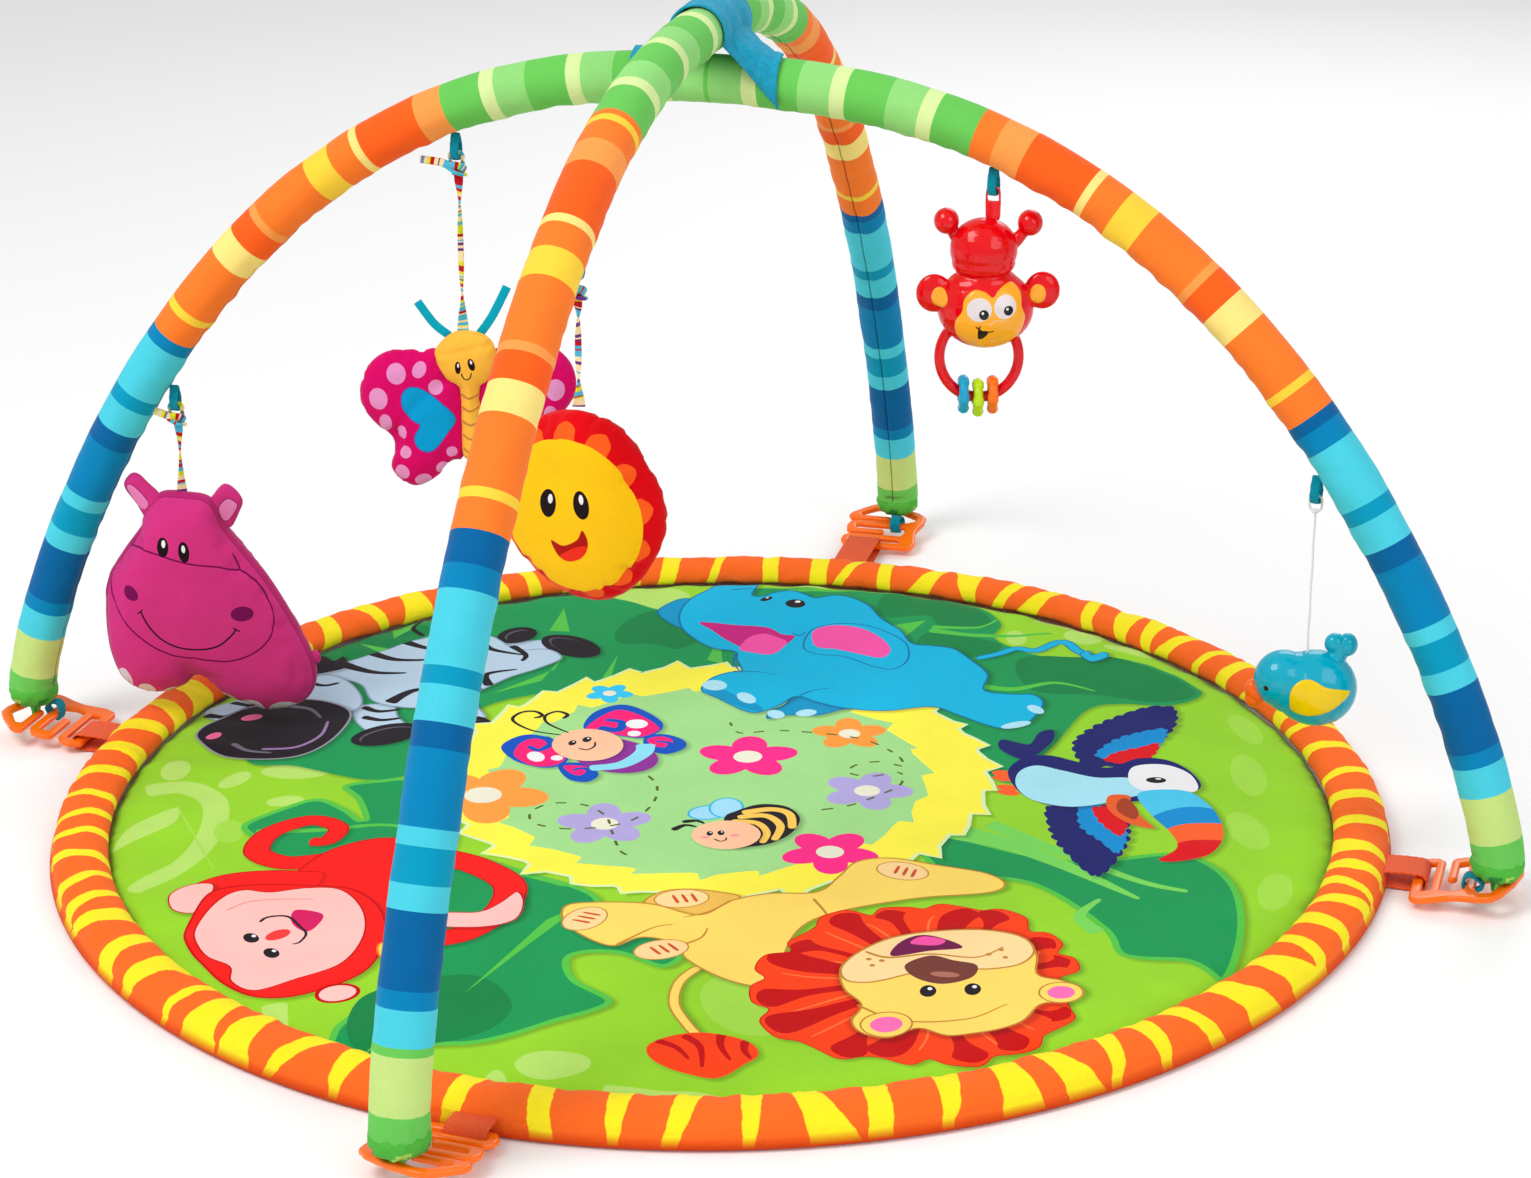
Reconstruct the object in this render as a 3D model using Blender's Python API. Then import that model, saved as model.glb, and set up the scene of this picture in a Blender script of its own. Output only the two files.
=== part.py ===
"""Activity play gym: a round padded mat, two crossing soft arches hooked to it by four plastic links,
and five hanging toys. Metres, +Z up, the gym stands on z = 0."""
import math

import bmesh
import bpy
from mathutils import Matrix, Vector, geometry

for old in list(bpy.data.objects):
    bpy.data.objects.remove(old, do_unlink=True)

# ---------------------------------------------------------------- driving dimensions
GAP = 0.0003                      # clearance between neighbouring pieces

MAT_CENTRE = Vector((0.001, -0.024, 0.0))
MAT_RADIUS = 0.447
RIM_WIDTH, RIM_HEIGHT = 0.038, 0.021
BINDING = 0.0060                  # height of the bound lower edge of the rim
MAT_INNER = MAT_RADIUS - RIM_WIDTH

TUBE_RADIUS = 0.0165              # padded arch over its fabric
SLEEVE_WALL = 0.0012
ROD_RADIUS, FOAM_BORE, FERRULE_RADIUS, FERRULE_LENGTH = 0.0045, 0.0074, 0.0061, 0.060
SLEEVE_END_Z = 0.0335
APEX = Vector((-0.020, 0.0275, 0.0))
APEX_A_Z, APEX_B_Z = 0.494, 0.5285
FEET = {"left": Vector((-0.520, -0.0235, 0)), "right": Vector((0.520, -0.0405, 0)),
        "front": Vector((-0.032, -0.5345, 0)), "back": Vector((-0.013, 0.5345, 0))}
SPREAD_POWER, HEIGHT_POWER = 0.81, 1.55   # squareness of the arch curve

LINK_THICKNESS, LINK_TILT, LINK_BAR_Z = 0.0045, math.radians(10), 0.0066
FOOT_IN_LINK = (0.0495, 0.007)    # foot axis from the link's slot bar: outwards, to the right
TAB_WIDTH, TAB_OFFSET, TAB_WALL, TAB_BORE = 0.026, -0.0105, 0.0012, 0.0049
LOOP_BAR = (0.0345, 0.0)          # middle bar of the link inside the foot loop
LOOP_ANCHOR = (0.0418, 0.0062)

VIEW_RIGHT = Vector((math.cos(math.radians(15)), math.sin(math.radians(15)), 0))  # toys face this way round
UP = Vector((0, 0, 1))

# ---------------------------------------------------------------- colours
ORANGE, GREEN, TEAL, SKY = (0.95, 0.15, 0.02), (0.27, 0.68, 0.03), (0.0, 0.36, 0.50), (0.02, 0.40, 0.68)
BLUE, PINK, MAGENTA, AMBER = (0.0, 0.26, 0.50), (0.60, 0.03, 0.22), (0.65, 0.0, 0.13), (0.98, 0.50, 0.06)
RED, CYAN, LIME, LINK_ORANGE = (0.75, 0.0, 0.015), (0.0, 0.40, 0.54), (0.60, 0.85, 0.03), (0.95, 0.22, 0.0)
WHITE, GREY, CREAM = (0.85, 0.85, 0.84), (0.30, 0.31, 0.32), (0.80, 0.77, 0.68)


# ---------------------------------------------------------------- mesh helpers
def add(name, verts, faces, colour, roughness=0.7, pivot=(0, 0, 0)):
    """One closed body as a named object whose origin is its pivot."""
    mesh = bpy.data.meshes.new(name)
    pivot = Vector(pivot)
    mesh.from_pydata([Vector(v) - pivot for v in verts], [], faces)
    work = bmesh.new()
    work.from_mesh(mesh)
    bmesh.ops.recalc_face_normals(work, faces=work.faces)
    work.to_mesh(mesh)
    work.free()
    obj = bpy.data.objects.new(name, mesh)
    obj.location = pivot
    bpy.context.scene.collection.objects.link(obj)
    material = bpy.data.materials.new(name)
    material.use_nodes = True
    shader = material.node_tree.nodes["Principled BSDF"]
    shader.inputs["Base Color"].default_value = (*colour, 1)
    shader.inputs["Roughness"].default_value = roughness
    material.diffuse_color = (*colour, 1)
    mesh.materials.append(material)
    return obj


def loft(rings, joined=False):
    """Skin through rings of equal point count: capped at both ends, or joined into a closed band."""
    count = len(rings[0])
    verts = [p for ring in rings for p in ring]
    faces = []
    spans = len(rings) if joined else len(rings) - 1
    for i in range(spans):
        low, high = i * count, (i + 1) % len(rings) * count
        for j in range(count):
            k = (j + 1) % count
            faces.append((low + j, low + k, high + k, high + j))
    if not joined:
        faces.append(tuple(reversed(range(count))))
        faces.append(tuple(range(len(verts) - count, len(verts))))
    return verts, faces


def circle(centre, side, across, radius, count):
    """Ring of points round centre in the plane of two unit vectors."""
    return [centre + side * (radius * math.cos(a)) + across * (radius * math.sin(a))
            for a in (2 * math.pi * i / count for i in range(count))]


def turned(centre, profile, count):
    """Solid of revolution about a vertical axis from (radius, height) pairs, low to high."""
    return loft([circle(centre + UP * z, Vector((1, 0, 0)), Vector((0, 1, 0)), r, count) for r, z in profile])


def ring_solid(centre, profile, count):
    """Closed profile of (radius, height) pairs swept round a vertical axis."""
    rings = []
    for i in range(count):
        a = 2 * math.pi * i / count
        out = Vector((math.cos(a), math.sin(a), 0))
        rings.append([centre + out * r + UP * z for r, z in profile])
    return loft(rings, joined=True)


def path_frames(path, side_hint):
    """Tangent-following frame at every point of a path; an end standing on the floor is cut level."""
    frames = []
    for i, point in enumerate(path):
        tangent = (path[min(i + 1, len(path) - 1)] - path[max(i - 1, 0)]).normalized()
        if i in (0, len(path) - 1) and point.z < 0.05:
            tangent = UP if i == 0 else -UP
        side = (side_hint - tangent * side_hint.dot(tangent)).normalized()
        frames.append((point, side, tangent.cross(side)))
    return frames


def rod(path, side_hint, radius, count):
    return loft([circle(p, s, n, radius, count) for p, s, n in path_frames(path, side_hint)])


def pipe(path, side_hint, outer, inner, count):
    """Tube open at both ends."""
    frames = path_frames(path, side_hint)
    out = [circle(p, s, n, outer, count) for p, s, n in frames]
    back = [circle(p, s, n, inner, count) for p, s, n in reversed(frames)]
    return loft(out + back, joined=True)


def plate(outline, holes, thickness, chamfer, place):
    """Flat plate with chamfered edges from a 2-D outline and holes; place maps (u, w, z) to space."""
    def inset(points, amount):
        area = sum(a[0] * b[1] - b[0] * a[1] for a, b in zip(points, points[1:] + points[:1]))
        turn = 1 if area > 0 else -1
        moved = []
        for i, p in enumerate(points):
            before, after = points[i - 1], points[(i + 1) % len(points)]
            d1, d2 = (p - before).normalized(), (after - p).normalized()
            normal = Vector((-d1.y - d2.y, d1.x + d2.x)) * turn
            scale = amount / max(normal.length_squared / 2, 0.35)
            moved.append(p + normal * scale)
        return moved

    verts, faces, tops, bottoms = [], [], [], []
    for sign, loop in [(1, outline)] + [(-1, h) for h in holes]:
        loop = [Vector(p) for p in loop]
        shrunk = inset(loop, sign * chamfer)
        levels = [(shrunk, -thickness / 2), (loop, -thickness / 2 + chamfer), (loop, thickness / 2 - chamfer),
                  (shrunk, thickness / 2)]
        start, n = len(verts), len(loop)
        for points, z in levels:
            verts += [place(p.x, p.y, z) for p in points]
        for level in range(3):
            for i in range(n):
                a, b = start + level * n + i, start + level * n + (i + 1) % n
                faces.append((a, b, b + n, a + n))
        bottoms.append((shrunk, start))
        tops.append((shrunk, start + 3 * n))
    for caps in (bottoms, tops):
        flat = [p for points, _ in caps for p in points]
        index = [first + i for points, first in caps for i in range(len(points))]
        edges, start = [], 0
        for points, _ in caps:
            edges += [(start + i, start + (i + 1) % len(points)) for i in range(len(points))]
            start += len(points)
        edge = len(outline)
        for tri in geometry.delaunay_2d_cdt(flat, edges, [], 1, 1e-7)[2]:
            if min(tri) < edge or len(caps) == 1:      # a triangle among a hole's own corners fills the hole
                faces.append(tuple(index[i] for i in tri))
    return verts, faces


def cushion(outline, centre, thickness, place, layers=((0.5, 0.5), (0.84, 0.42), (0.97, 0.22), (1.0, 0.0))):
    """Padded solid from an outline that can be seen whole from its centre; place maps (right, up, depth)."""
    centre = Vector(centre)
    profile = [(s, -d) for s, d in layers] + [(s, d) for s, d in reversed(layers[:-1])]
    rings = [[place(*(centre + (Vector(p) - centre) * s), d * thickness) for p in outline] for s, d in profile]
    return loft(rings)


def ellipsoid(centre, radii, axes, around=14, along=8):
    """Closed ellipsoid; the third axis joins its two end faces."""
    side, across, axis = axes
    rings = []
    for i in range(1, along):
        a = math.pi * i / along
        rings.append([centre + side * (radii[0] * math.sin(a) * math.cos(b))
                      + across * (radii[1] * math.sin(a) * math.sin(b)) - axis * (radii[2] * math.cos(a))
                      for b in (2 * math.pi * j / around for j in range(around))])
    return loft(rings)


def combine(name, first, others, colour, roughness, pivot):
    """Boolean chain: others is a list of (operation, solid); the result is one object."""
    def temporary(solid):
        obj = add("temporary", *solid, colour)
        obj.data.materials.clear()
        return obj

    base = temporary(first)
    helpers = []
    for operation, solid in others:
        helper = temporary(solid)
        helpers.append(helper)
        modifier = base.modifiers.new("combine", "BOOLEAN")
        modifier.operation, modifier.solver, modifier.object = operation, "EXACT", helper
    bpy.context.view_layer.update()
    mesh = base.evaluated_get(bpy.context.evaluated_depsgraph_get()).to_mesh()
    work = bmesh.new()
    work.from_mesh(mesh)
    bmesh.ops.remove_doubles(work, verts=work.verts, dist=0.00002)
    bmesh.ops.dissolve_degenerate(work, edges=work.edges, dist=0.00002)
    work.verts.ensure_lookup_table()
    verts = [v.co.copy() for v in work.verts]
    faces = [tuple(v.index for v in f.verts) for f in work.faces]
    work.free()
    for obj in [base] + helpers:
        bpy.data.objects.remove(obj, do_unlink=True)
    return add(name, verts, faces, colour, roughness, pivot)


# ---------------------------------------------------------------- the mat
mat_layers = (("mat_backing", 0.0, 0.0012, -0.0010, GREY), ("mat_batting", 0.0015, 0.0085, -0.0020, WHITE),
              ("mat_top", 0.0088, 0.0102, -0.0010, GREEN))
for name, low, high, shrink, colour in mat_layers:
    add(name, *turned(MAT_CENTRE, ((MAT_INNER + shrink, low), (MAT_INNER + shrink, high)), 64), colour, 0.9)

middle, half = MAT_RADIUS - RIM_WIDTH / 2, RIM_WIDTH / 2
rim_profile = [(MAT_RADIUS, 0.0), (MAT_RADIUS, BINDING), (MAT_RADIUS - 0.0014, BINDING + 0.0004)]
for degrees in (0, 32, 64, 96, 128, 160, 192):
    a = math.radians(degrees)
    rim_profile.append((middle + (half - 0.0014 * (degrees < 90)) * math.cos(a), RIM_HEIGHT / 2 * (1 + math.sin(a))))
rim_profile.append((middle - half * 0.55, 0.0))
add("mat_rim", *ring_solid(MAT_CENTRE, rim_profile, 64), ORANGE, 0.85)


# ---------------------------------------------------------------- the arches
def leg_point(leg, t):
    """Point on a leg's centreline, t from 0 at the foot to pi/2 over the crossing."""
    spread, rise = max(math.cos(t), 0.0) ** SPREAD_POWER, math.sin(t) ** HEIGHT_POWER
    foot = FEET[leg]
    top = APEX_A_Z if leg in ("left", "right") else APEX_B_Z
    bow = spread ** 2
    if leg in ("left", "right"):
        x, y = APEX.x + spread * (foot.x - APEX.x), APEX.y + bow * (foot.y - APEX.y)
    else:
        x, y = APEX.x + bow * (foot.x - APEX.x), APEX.y + spread * (foot.y - APEX.y)
    return Vector((x, y, SLEEVE_END_Z + (top - SLEEVE_END_Z) * rise))


def arch_line(first, last):
    """Finely sampled centreline from one foot over the crossing to the other, with running lengths."""
    steps = 400
    points = [leg_point(first, math.pi / 2 * i / steps) for i in range(steps + 1)]
    points += [leg_point(last, math.pi / 2 * i / steps) for i in reversed(range(steps))]
    lengths = [0.0]
    for a, b in zip(points, points[1:]):
        lengths.append(lengths[-1] + (b - a).length)
    return points, lengths


def along(line, distances):
    """Centreline points at the given distances from its first end."""
    points, lengths = line
    found, j = [], 0
    for distance in distances:
        while j < len(points) - 2 and lengths[j + 1] < distance:
            j += 1
        share = (distance - lengths[j]) / (lengths[j + 1] - lengths[j])
        found.append(points[j].lerp(points[j + 1], min(share, 1.0)))
    return found


for arch, first, last, hint in (("a", "left", "right", Vector((0, 1, 0))), ("b", "front", "back", Vector((1, 0, 0)))):
    line = arch_line(first, last)
    length = line[1][-1]
    middle = length / 2
    path = along(line, [length * i / 31 for i in range(32)])
    foam_outer = (TUBE_RADIUS - SLEEVE_WALL) * math.cos(math.pi / 14) - GAP
    add(f"arch_{arch}_sleeve", *pipe(path, hint, TUBE_RADIUS, TUBE_RADIUS - SLEEVE_WALL, 14), BLUE, 0.85)
    add(f"arch_{arch}_foam", *pipe(path, hint, foam_outer, FOAM_BORE, 10), CREAM, 0.9)
    joint = [0.0005, 0.010, 0.020, 0.030, 0.040]          # close points where the rods meet in the ferrule
    coarse = [0.002 + (middle - 0.080) * i / 14 for i in range(15)]
    add(f"arch_{arch}_rod_{first}", *rod(along(line, coarse + [middle - d for d in reversed(joint)]), hint,
                                         ROD_RADIUS, 8), GREY, 0.4)
    add(f"arch_{arch}_rod_{last}", *rod(along(line, [middle + d for d in joint]
                                              + [length - d for d in reversed(coarse)]), hint, ROD_RADIUS, 8), GREY, 0.4)
    ends = along(line, [middle + FERRULE_LENGTH * (i / 6 - 0.5) for i in range(7)])
    add(f"arch_{arch}_ferrule", *pipe(ends, hint, FERRULE_RADIUS, ROD_RADIUS + GAP, 10), WHITE, 0.35)

# Gathered sleeve end of each leg: a tip through the link's outer hook, a round heel above it.
cuff_profile = ((0.0040, 0.0), (0.0050, 0.003), (0.0050, 0.0215), (0.0100, 0.0242), (0.0150, 0.0280),
                (TUBE_RADIUS, SLEEVE_END_Z - GAP))
for leg, foot in FEET.items():
    add(f"foot_{leg}", *turned(foot, cuff_profile, 14), GREEN, 0.85)

# ---------------------------------------------------------------- links, webbing tabs and foot loops
# Flat hook seen from above: slot frame at the mat, two open hooks, a stem down the right side (u outwards, w right).
LINK_OUTLINE = [(-3.5, -27), (-3.5, 26), (-1, 30), (6, 31.5), (14, 30), (22, 28.5), (30, 29.5), (40, 32.5),
                (50, 32.5), (56, 26), (63, 10), (67, -6), (66.5, -14), (62, -20), (50, -32), (45, -33.5), (41, -31),
                (41, 2.5), (43.5, 3.8), (46.5, 2.5), (46.8, -22), (50, -23), (59.5, -11), (60, -6), (55.5, 10),
                (48, 24), (42, 24), (38, 17.5), (38, -25), (35, -30), (28, -31.5), (21, -30), (19, -27), (19, 0.5),
                (21.5, 2.0), (25, 0.5), (25, -22), (31, -23.5), (31, 16.5), (24, 19.5), (15.5, 17), (15.5, -26),
                (11, -31), (4, -31.5)]
LINK_SLOT = [(3.5, -24), (3.5, 17), (5, 18), (9.5, 16), (9.5, -24)]


def link_frame(leg):
    """Outward and rightward unit vectors and the slot bar's centre for one leg."""
    foot = FEET[leg]
    out = (foot - MAT_CENTRE).normalized()
    right = Vector((out.y, -out.x, 0))
    return foot - out * FOOT_IN_LINK[0] - right * FOOT_IN_LINK[1] + UP * LINK_BAR_Z, out, right


def tilted(leg):
    """Placement of the link's own coordinates, raised outwards by its tilt."""
    bar, out, right = link_frame(leg)
    cos, sin = math.cos(LINK_TILT), math.sin(LINK_TILT)
    return lambda u, w, z: bar + out * (u * cos - z * sin) + right * w + UP * (u * sin + z * cos)


def band(centres, radii, count=8):
    """Outline of a strap pulled round two round bars, in the (u, z) plane."""
    (a, b), (ra, rb) = (Vector(c) for c in centres), radii
    axis = (b - a).normalized()
    turn = math.atan2(axis.y, axis.x)
    lean = math.acos((ra - rb) / (b - a).length)
    points = [b + Vector((math.cos(turn + g), math.sin(turn + g))) * rb
              for g in (-lean + 2 * lean * i / count for i in range(count + 1))]
    points += [a + Vector((math.cos(turn + g), math.sin(turn + g))) * ra
               for g in (lean + (2 * math.pi - 2 * lean) * i / count for i in range(count + 1))]
    return points


for leg in FEET:
    place = tilted(leg)
    outline = [(u / 1000, w / 1000) for u, w in LINK_OUTLINE]
    slot = [(u / 1000, w / 1000) for u, w in LINK_SLOT]
    add(f"link_{leg}", *plate(outline, [slot], LINK_THICKNESS, 0.0009, place), LINK_ORANGE, 0.3)

    bar, out, right = link_frame(leg)
    reach = (bar - MAT_CENTRE).dot(out) - MAT_RADIUS - GAP
    inner, outer = TAB_BORE, TAB_BORE + TAB_WALL
    arc = [math.pi / 2 * (1 - i / 4) for i in range(9)]
    section = [(-reach, outer)] + [(outer * math.cos(a), outer * math.sin(a)) for a in arc] + [(-reach, -outer)]
    section += [(-reach, -inner)] + [(inner * math.cos(a), inner * math.sin(a)) for a in reversed(arc)]
    section += [(-reach, inner)]
    sides = [[bar + out * u + UP * z + right * (TAB_OFFSET + w) for u, z in section]
             for w in (-TAB_WIDTH / 2, TAB_WIDTH / 2)]
    add(f"tab_{leg}", *loft(sides), ORANGE, 0.8)

    around = band((LOOP_BAR, LOOP_ANCHOR), (0.0062, 0.0024))
    within = band((LOOP_BAR, LOOP_ANCHOR), (0.0048, 0.0010))
    edge = [[place(u, w, z) for u, z in outline] for outline, w in
            ((around, 0.0048), (around, 0.0154), (within, 0.0154), (within, 0.0048))]
    add(f"foot_loop_{leg}", *loft(edge, joined=True), TEAL, 0.9)


# ---------------------------------------------------------------- terry wrap over the crossing
def wrap_height(x, y):
    """Underside of the cloth lying over both arches."""
    rest = TUBE_RADIUS + 0.0025
    over_b = APEX_B_Z + rest - 0.9 * x * x / rest
    over_a = APEX_A_Z + rest - 0.9 * y * y / rest
    return max(over_a, over_b)


WRAP_HALF, WRAP_STEPS, WRAP_WALL = 0.039, 12, 0.003
size = WRAP_STEPS + 1
grid = [-WRAP_HALF + 2 * WRAP_HALF * i / WRAP_STEPS for i in range(size)]
verts = [APEX + Vector((x, y, wrap_height(x, y) + lift)) for lift in (0, WRAP_WALL) for y in grid for x in grid]
faces = []
for layer in (0, size * size):
    for j in range(WRAP_STEPS):
        for i in range(WRAP_STEPS):
            a = layer + j * size + i
            quad = (a, a + 1, a + size + 1, a + size)
            faces.append(quad if layer else quad[::-1])
border = [i for i in range(size)] + [j * size + size - 1 for j in range(1, size)]
border += [size * size - 1 - i for i in range(1, size)] + [j * size for j in range(size - 2, 0, -1)]
for a, b in zip(border, border[1:] + border[:1]):
    faces.append((a, b, b + size * size, a + size * size))
add("crossing_wrap", verts, faces, SKY, 0.95)

# ---------------------------------------------------------------- hanging loops and straps
LOOP_INNER, LOOP_WALL, LOOP_LONG, LOOP_WIDE = 0.0040, 0.0012, 0.0060, 0.006
STRAP_WIDE, STRAP_THICK = 0.0092, 0.0015
TALL = 1.064                      # height of the hanging toys over the sizes in their outlines


def hang(leg, t):
    """Pivot in the bottom of a terry loop under a leg, with the horizontal axis it hangs along."""
    point = leg_point(leg, t)
    tangent = (leg_point(leg, t + 0.01) - leg_point(leg, t - 0.01)).normalized()
    axis = Vector((tangent.x, tangent.y, 0)).normalized()
    inward = (-UP + tangent * tangent.z).normalized()
    stand_off = TUBE_RADIUS + 2 * GAP + LOOP_WIDE / 2 * abs(tangent.z) + 0.0004
    top = point + inward * stand_off
    pivot = top - UP * (LOOP_LONG + LOOP_INNER + LOOP_WALL)
    return pivot, axis


def terry_loop(name, leg, t):
    pivot, axis = hang(leg, t)
    across = axis.cross(UP)
    outer = band(((0, 0), (0, LOOP_LONG)), (LOOP_INNER + LOOP_WALL, LOOP_INNER + LOOP_WALL - 0.00001))
    inner = band(((0, 0), (0, LOOP_LONG)), (LOOP_INNER, LOOP_INNER - 0.00001))
    edge = [[pivot + across * s + UP * z + axis * w for s, z in outline] for outline, w in
            ((outer, -LOOP_WIDE / 2), (outer, LOOP_WIDE / 2), (inner, LOOP_WIDE / 2), (inner, -LOOP_WIDE / 2))]
    add(name, *loft(edge, joined=True), TEAL, 0.9)
    return pivot, axis


def strap(name, pivot, axis, length):
    """Ribbon with a buttonhole round the terry loop, hanging down to the toy."""
    across = axis.cross(UP)
    half = STRAP_WIDE / 2
    outline = [(-half, -length), (half, -length), (half, -0.0004), (half - 0.0004, 0.0006),
               (-half + 0.0004, 0.0006), (-half, -0.0004)]
    hole = [(-0.0036, -0.0085), (0.0036, -0.0085), (0.0036, -0.0007), (-0.0036, -0.0007)]
    solid = plate(outline, [hole], STRAP_THICK, 0.0003, lambda s, z, d: pivot + axis * s + UP * z + across * d)
    return add(name, *solid, AMBER, 0.85, pivot)


def facing(pivot, yaw=0.0, scale=(1.0, 1.0, 1.0)):
    """Placement of a toy's (right, up, forward) coordinates below its pivot, with the scaled axes."""
    right = Matrix.Rotation(yaw, 3, "Z") @ VIEW_RIGHT
    axes = [axis * size for axis, size in zip((right, UP, right.cross(UP)), scale)]
    return lambda x, y, d: pivot + axes[0] * x + axes[1] * y + axes[2] * d, axes


# hippo
pivot, axis = terry_loop("toy_loop_hippo", "left", 0.713)
strap("hippo_strap", pivot, axis, 0.0681)
place, _ = facing(pivot, 0.0, (1.0, TALL, 1.0))
hippo = [(-13, 0), (6, 0), (20, -4), (31, -21), (43, -37), (58, -56), (72, -80), (85, -106), (87, -124), (80, -139),
         (66, -147), (44, -147), (24, -141), (8, -131), (-6, -134), (-24, -138), (-41, -135), (-54, -122),
         (-60, -102), (-61, -80), (-58, -58), (-48, -40), (-33, -24), (-24, -9)]
outline = [(x / 1000, y / 1000 - 0.0643) for x, y in hippo]
add("hippo_body", *cushion(outline, (0.006, -0.148), 0.042, place), PINK, 0.85, pivot)

# butterfly
pivot, axis = terry_loop("toy_loop_butterfly", "left", 1.278)
strap("butterfly_strap", pivot, axis, 0.1234)
place, _ = facing(pivot, 0.0, (1.0, TALL, 1.0))
low = -0.1163
body = [(-4, 0), (7, 0), (18, -4), (22, -13), (21, -24), (15, -34), (8, -39), (9, -60), (8, -84), (1, -86), (-6, -84),
        (-6, -60), (-6, -39), (-13, -33), (-19, -24), (-20, -13), (-14, -4)]
outline = [(x / 1000, low + y / 1000) for x, y in body]
add("butterfly_body", *cushion(outline, (0.001, low - 0.036), 0.020, place), AMBER, 0.85, pivot)
wing = [(-21.5, -15), (-44, -13), (-62, -20), (-72, -35), (-72, -50), (-62, -66), (-53, -76), (-52, -91),
        (-44, -102), (-34, -104), (-20, -97), (-8, -86), (-8, -60), (-8, -40), (-16, -33), (-21.5, -25)]
for side, sign, lift in (("left", 1, 0.0), ("right", -1, 7.0)):
    shift = 0.0 if side == "left" else 2.5
    outline = [(sign * x / 1000 + shift / 1000, low + (y + lift * max(-x - 8, 0) / 64) / 1000) for x, y in wing]
    centre = (sign * -0.036 + shift / 1000, low - 0.050)
    add(f"butterfly_wing_{side}", *cushion(outline, centre, 0.013, place), MAGENTA, 0.85, pivot)
feelers = [(-12.6, -3.4), (-33, 16), (-28.5, 21), (-6.5, 1.4), (-5.2, 1.1), (0, 1.0), (9.5, 1.1), (11, 1.2), (28, 30),
           (33.5, 26.5), (17.0, -2.2), (12, 0.5), (-6, 0.5)]
outline = [(x / 1000, low + y / 1000) for x, y in feelers]
add("butterfly_feelers", *plate(outline, [], 0.0012, 0.0002, lambda x, y, d: place(x, y, d - 0.0027)),
    CYAN, 0.85, pivot)

# sun
pivot, axis = terry_loop("toy_loop_sun", "front", 1.143)
strap("sun_strap", pivot, axis, 0.0809)
place, _ = facing(pivot, math.radians(-30), (1.03, TALL, 1.0))
radius, low = 0.058, -0.0763
outline = [(radius * math.sin(a), low - radius + radius * math.cos(a)) for a in
           (2 * math.pi * i / 28 for i in range(28))]
add("sun_body", *cushion(outline, (0, low - radius), 0.030, place), RED, 0.85, pivot)

# spare loop on the front leg
terry_loop("toy_loop_spare", "front", 0.736)

# monkey rattle: two moulded halves, a face plate, a clip, beads inside and three rings on the handle
pivot, axis = terry_loop("toy_loop_monkey", "right", 1.278)
place, axes = facing(pivot, 0.0, (1.22, 1.28, 1.28))
right, up, front = axes
point = lambda x, y, d=0.0: place(x / 1000, y / 1000, d / 1000)
clip = [(-4.7, -18.7), (4.7, -18.7), (4.7, 0.4), (4.3, 0.8), (-4.3, 0.8), (-4.7, 0.4)]
clip_hole = [(-3.7, -9.0), (3.7, -9.0), (3.7, -0.8), (-3.7, -0.8)]
to_metres = lambda pts: [(x / 1000, y / 1000) for x, y in pts]
across = axis.cross(UP)
clip_place = lambda s, z, d: pivot + axis * s + UP * z + across * d
add("monkey_clip", *plate(to_metres(clip), [to_metres(clip_hole)], 0.0030, 0.0004, clip_place), RED, 0.25, pivot)

dome = ellipsoid(point(-4.5, -31.5), (0.0180, 0.0145, 0.0165), (right, front, up))
handle_path = [point(-6 + 21.2 * math.cos(a), -88 + 21.5 * math.sin(a)) for a in
               (math.radians(140 + 260 * i / 22) for i in range(23))]
body_parts = [("UNION", ellipsoid(point(-3, -62), (0.0257, 0.0175, 0.0212), (right, front, up), 18, 10)),
              ("UNION", rod(handle_path, front, 0.0033, 10))]
for x, y, toward_x, toward_y in ((-24.2, -17.2, -16, -29), (19.5, -18.2, 9, -31)):
    ball, root = point(x, y), point(toward_x, toward_y)
    body_parts.append(("UNION", rod([root, ball], front, 0.0041, 8)))
    body_parts.append(("UNION", ellipsoid(ball, (0.0066, 0.0066, 0.0066), (right, front, up), 10, 7)))
for x, y in ((-29.8, -54.5), (26.5, -53)):
    body_parts.append(("UNION", ellipsoid(point(x, y), (0.0099, 0.0042, 0.0100), (right, front, up), 12, 7)))
cavity = ("DIFFERENCE", ellipsoid(point(-3, -62), (0.0200, 0.0125, 0.0155), (right, front, up), 12, 8))
for half_name, low_depth, high_depth in (("front", 0.15, 40), ("back", -40, -0.15)):
    box = [[point(x, y, d) for x, y in ((-60, -130), (60, -130), (60, 10), (-60, 10))] for d in (low_depth, high_depth)]
    combine(f"monkey_{half_name}", dome, body_parts + [cavity, ("INTERSECT", loft(box))], RED, 0.2, pivot)
face = [(-19.5, -66), (-18, -74), (-10, -80.5), (-3, -82), (6, -80), (14, -73), (17, -64), (15, -57), (14, -50),
        (9, -46), (3, -50), (0, -52.5), (-4, -50), (-10, -49), (-15, -54), (-16, -60)]


def over_face(x, y, d):
    """Shallow dished plate just off the front of the head."""
    bulge = 1 - ((x + 0.003) / 0.0257) ** 2 - ((y + 0.062) / 0.0212) ** 2
    return place(x, y, 0.0175 * math.sqrt(max(bulge, 0.0)) + 0.0012 + d)


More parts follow.
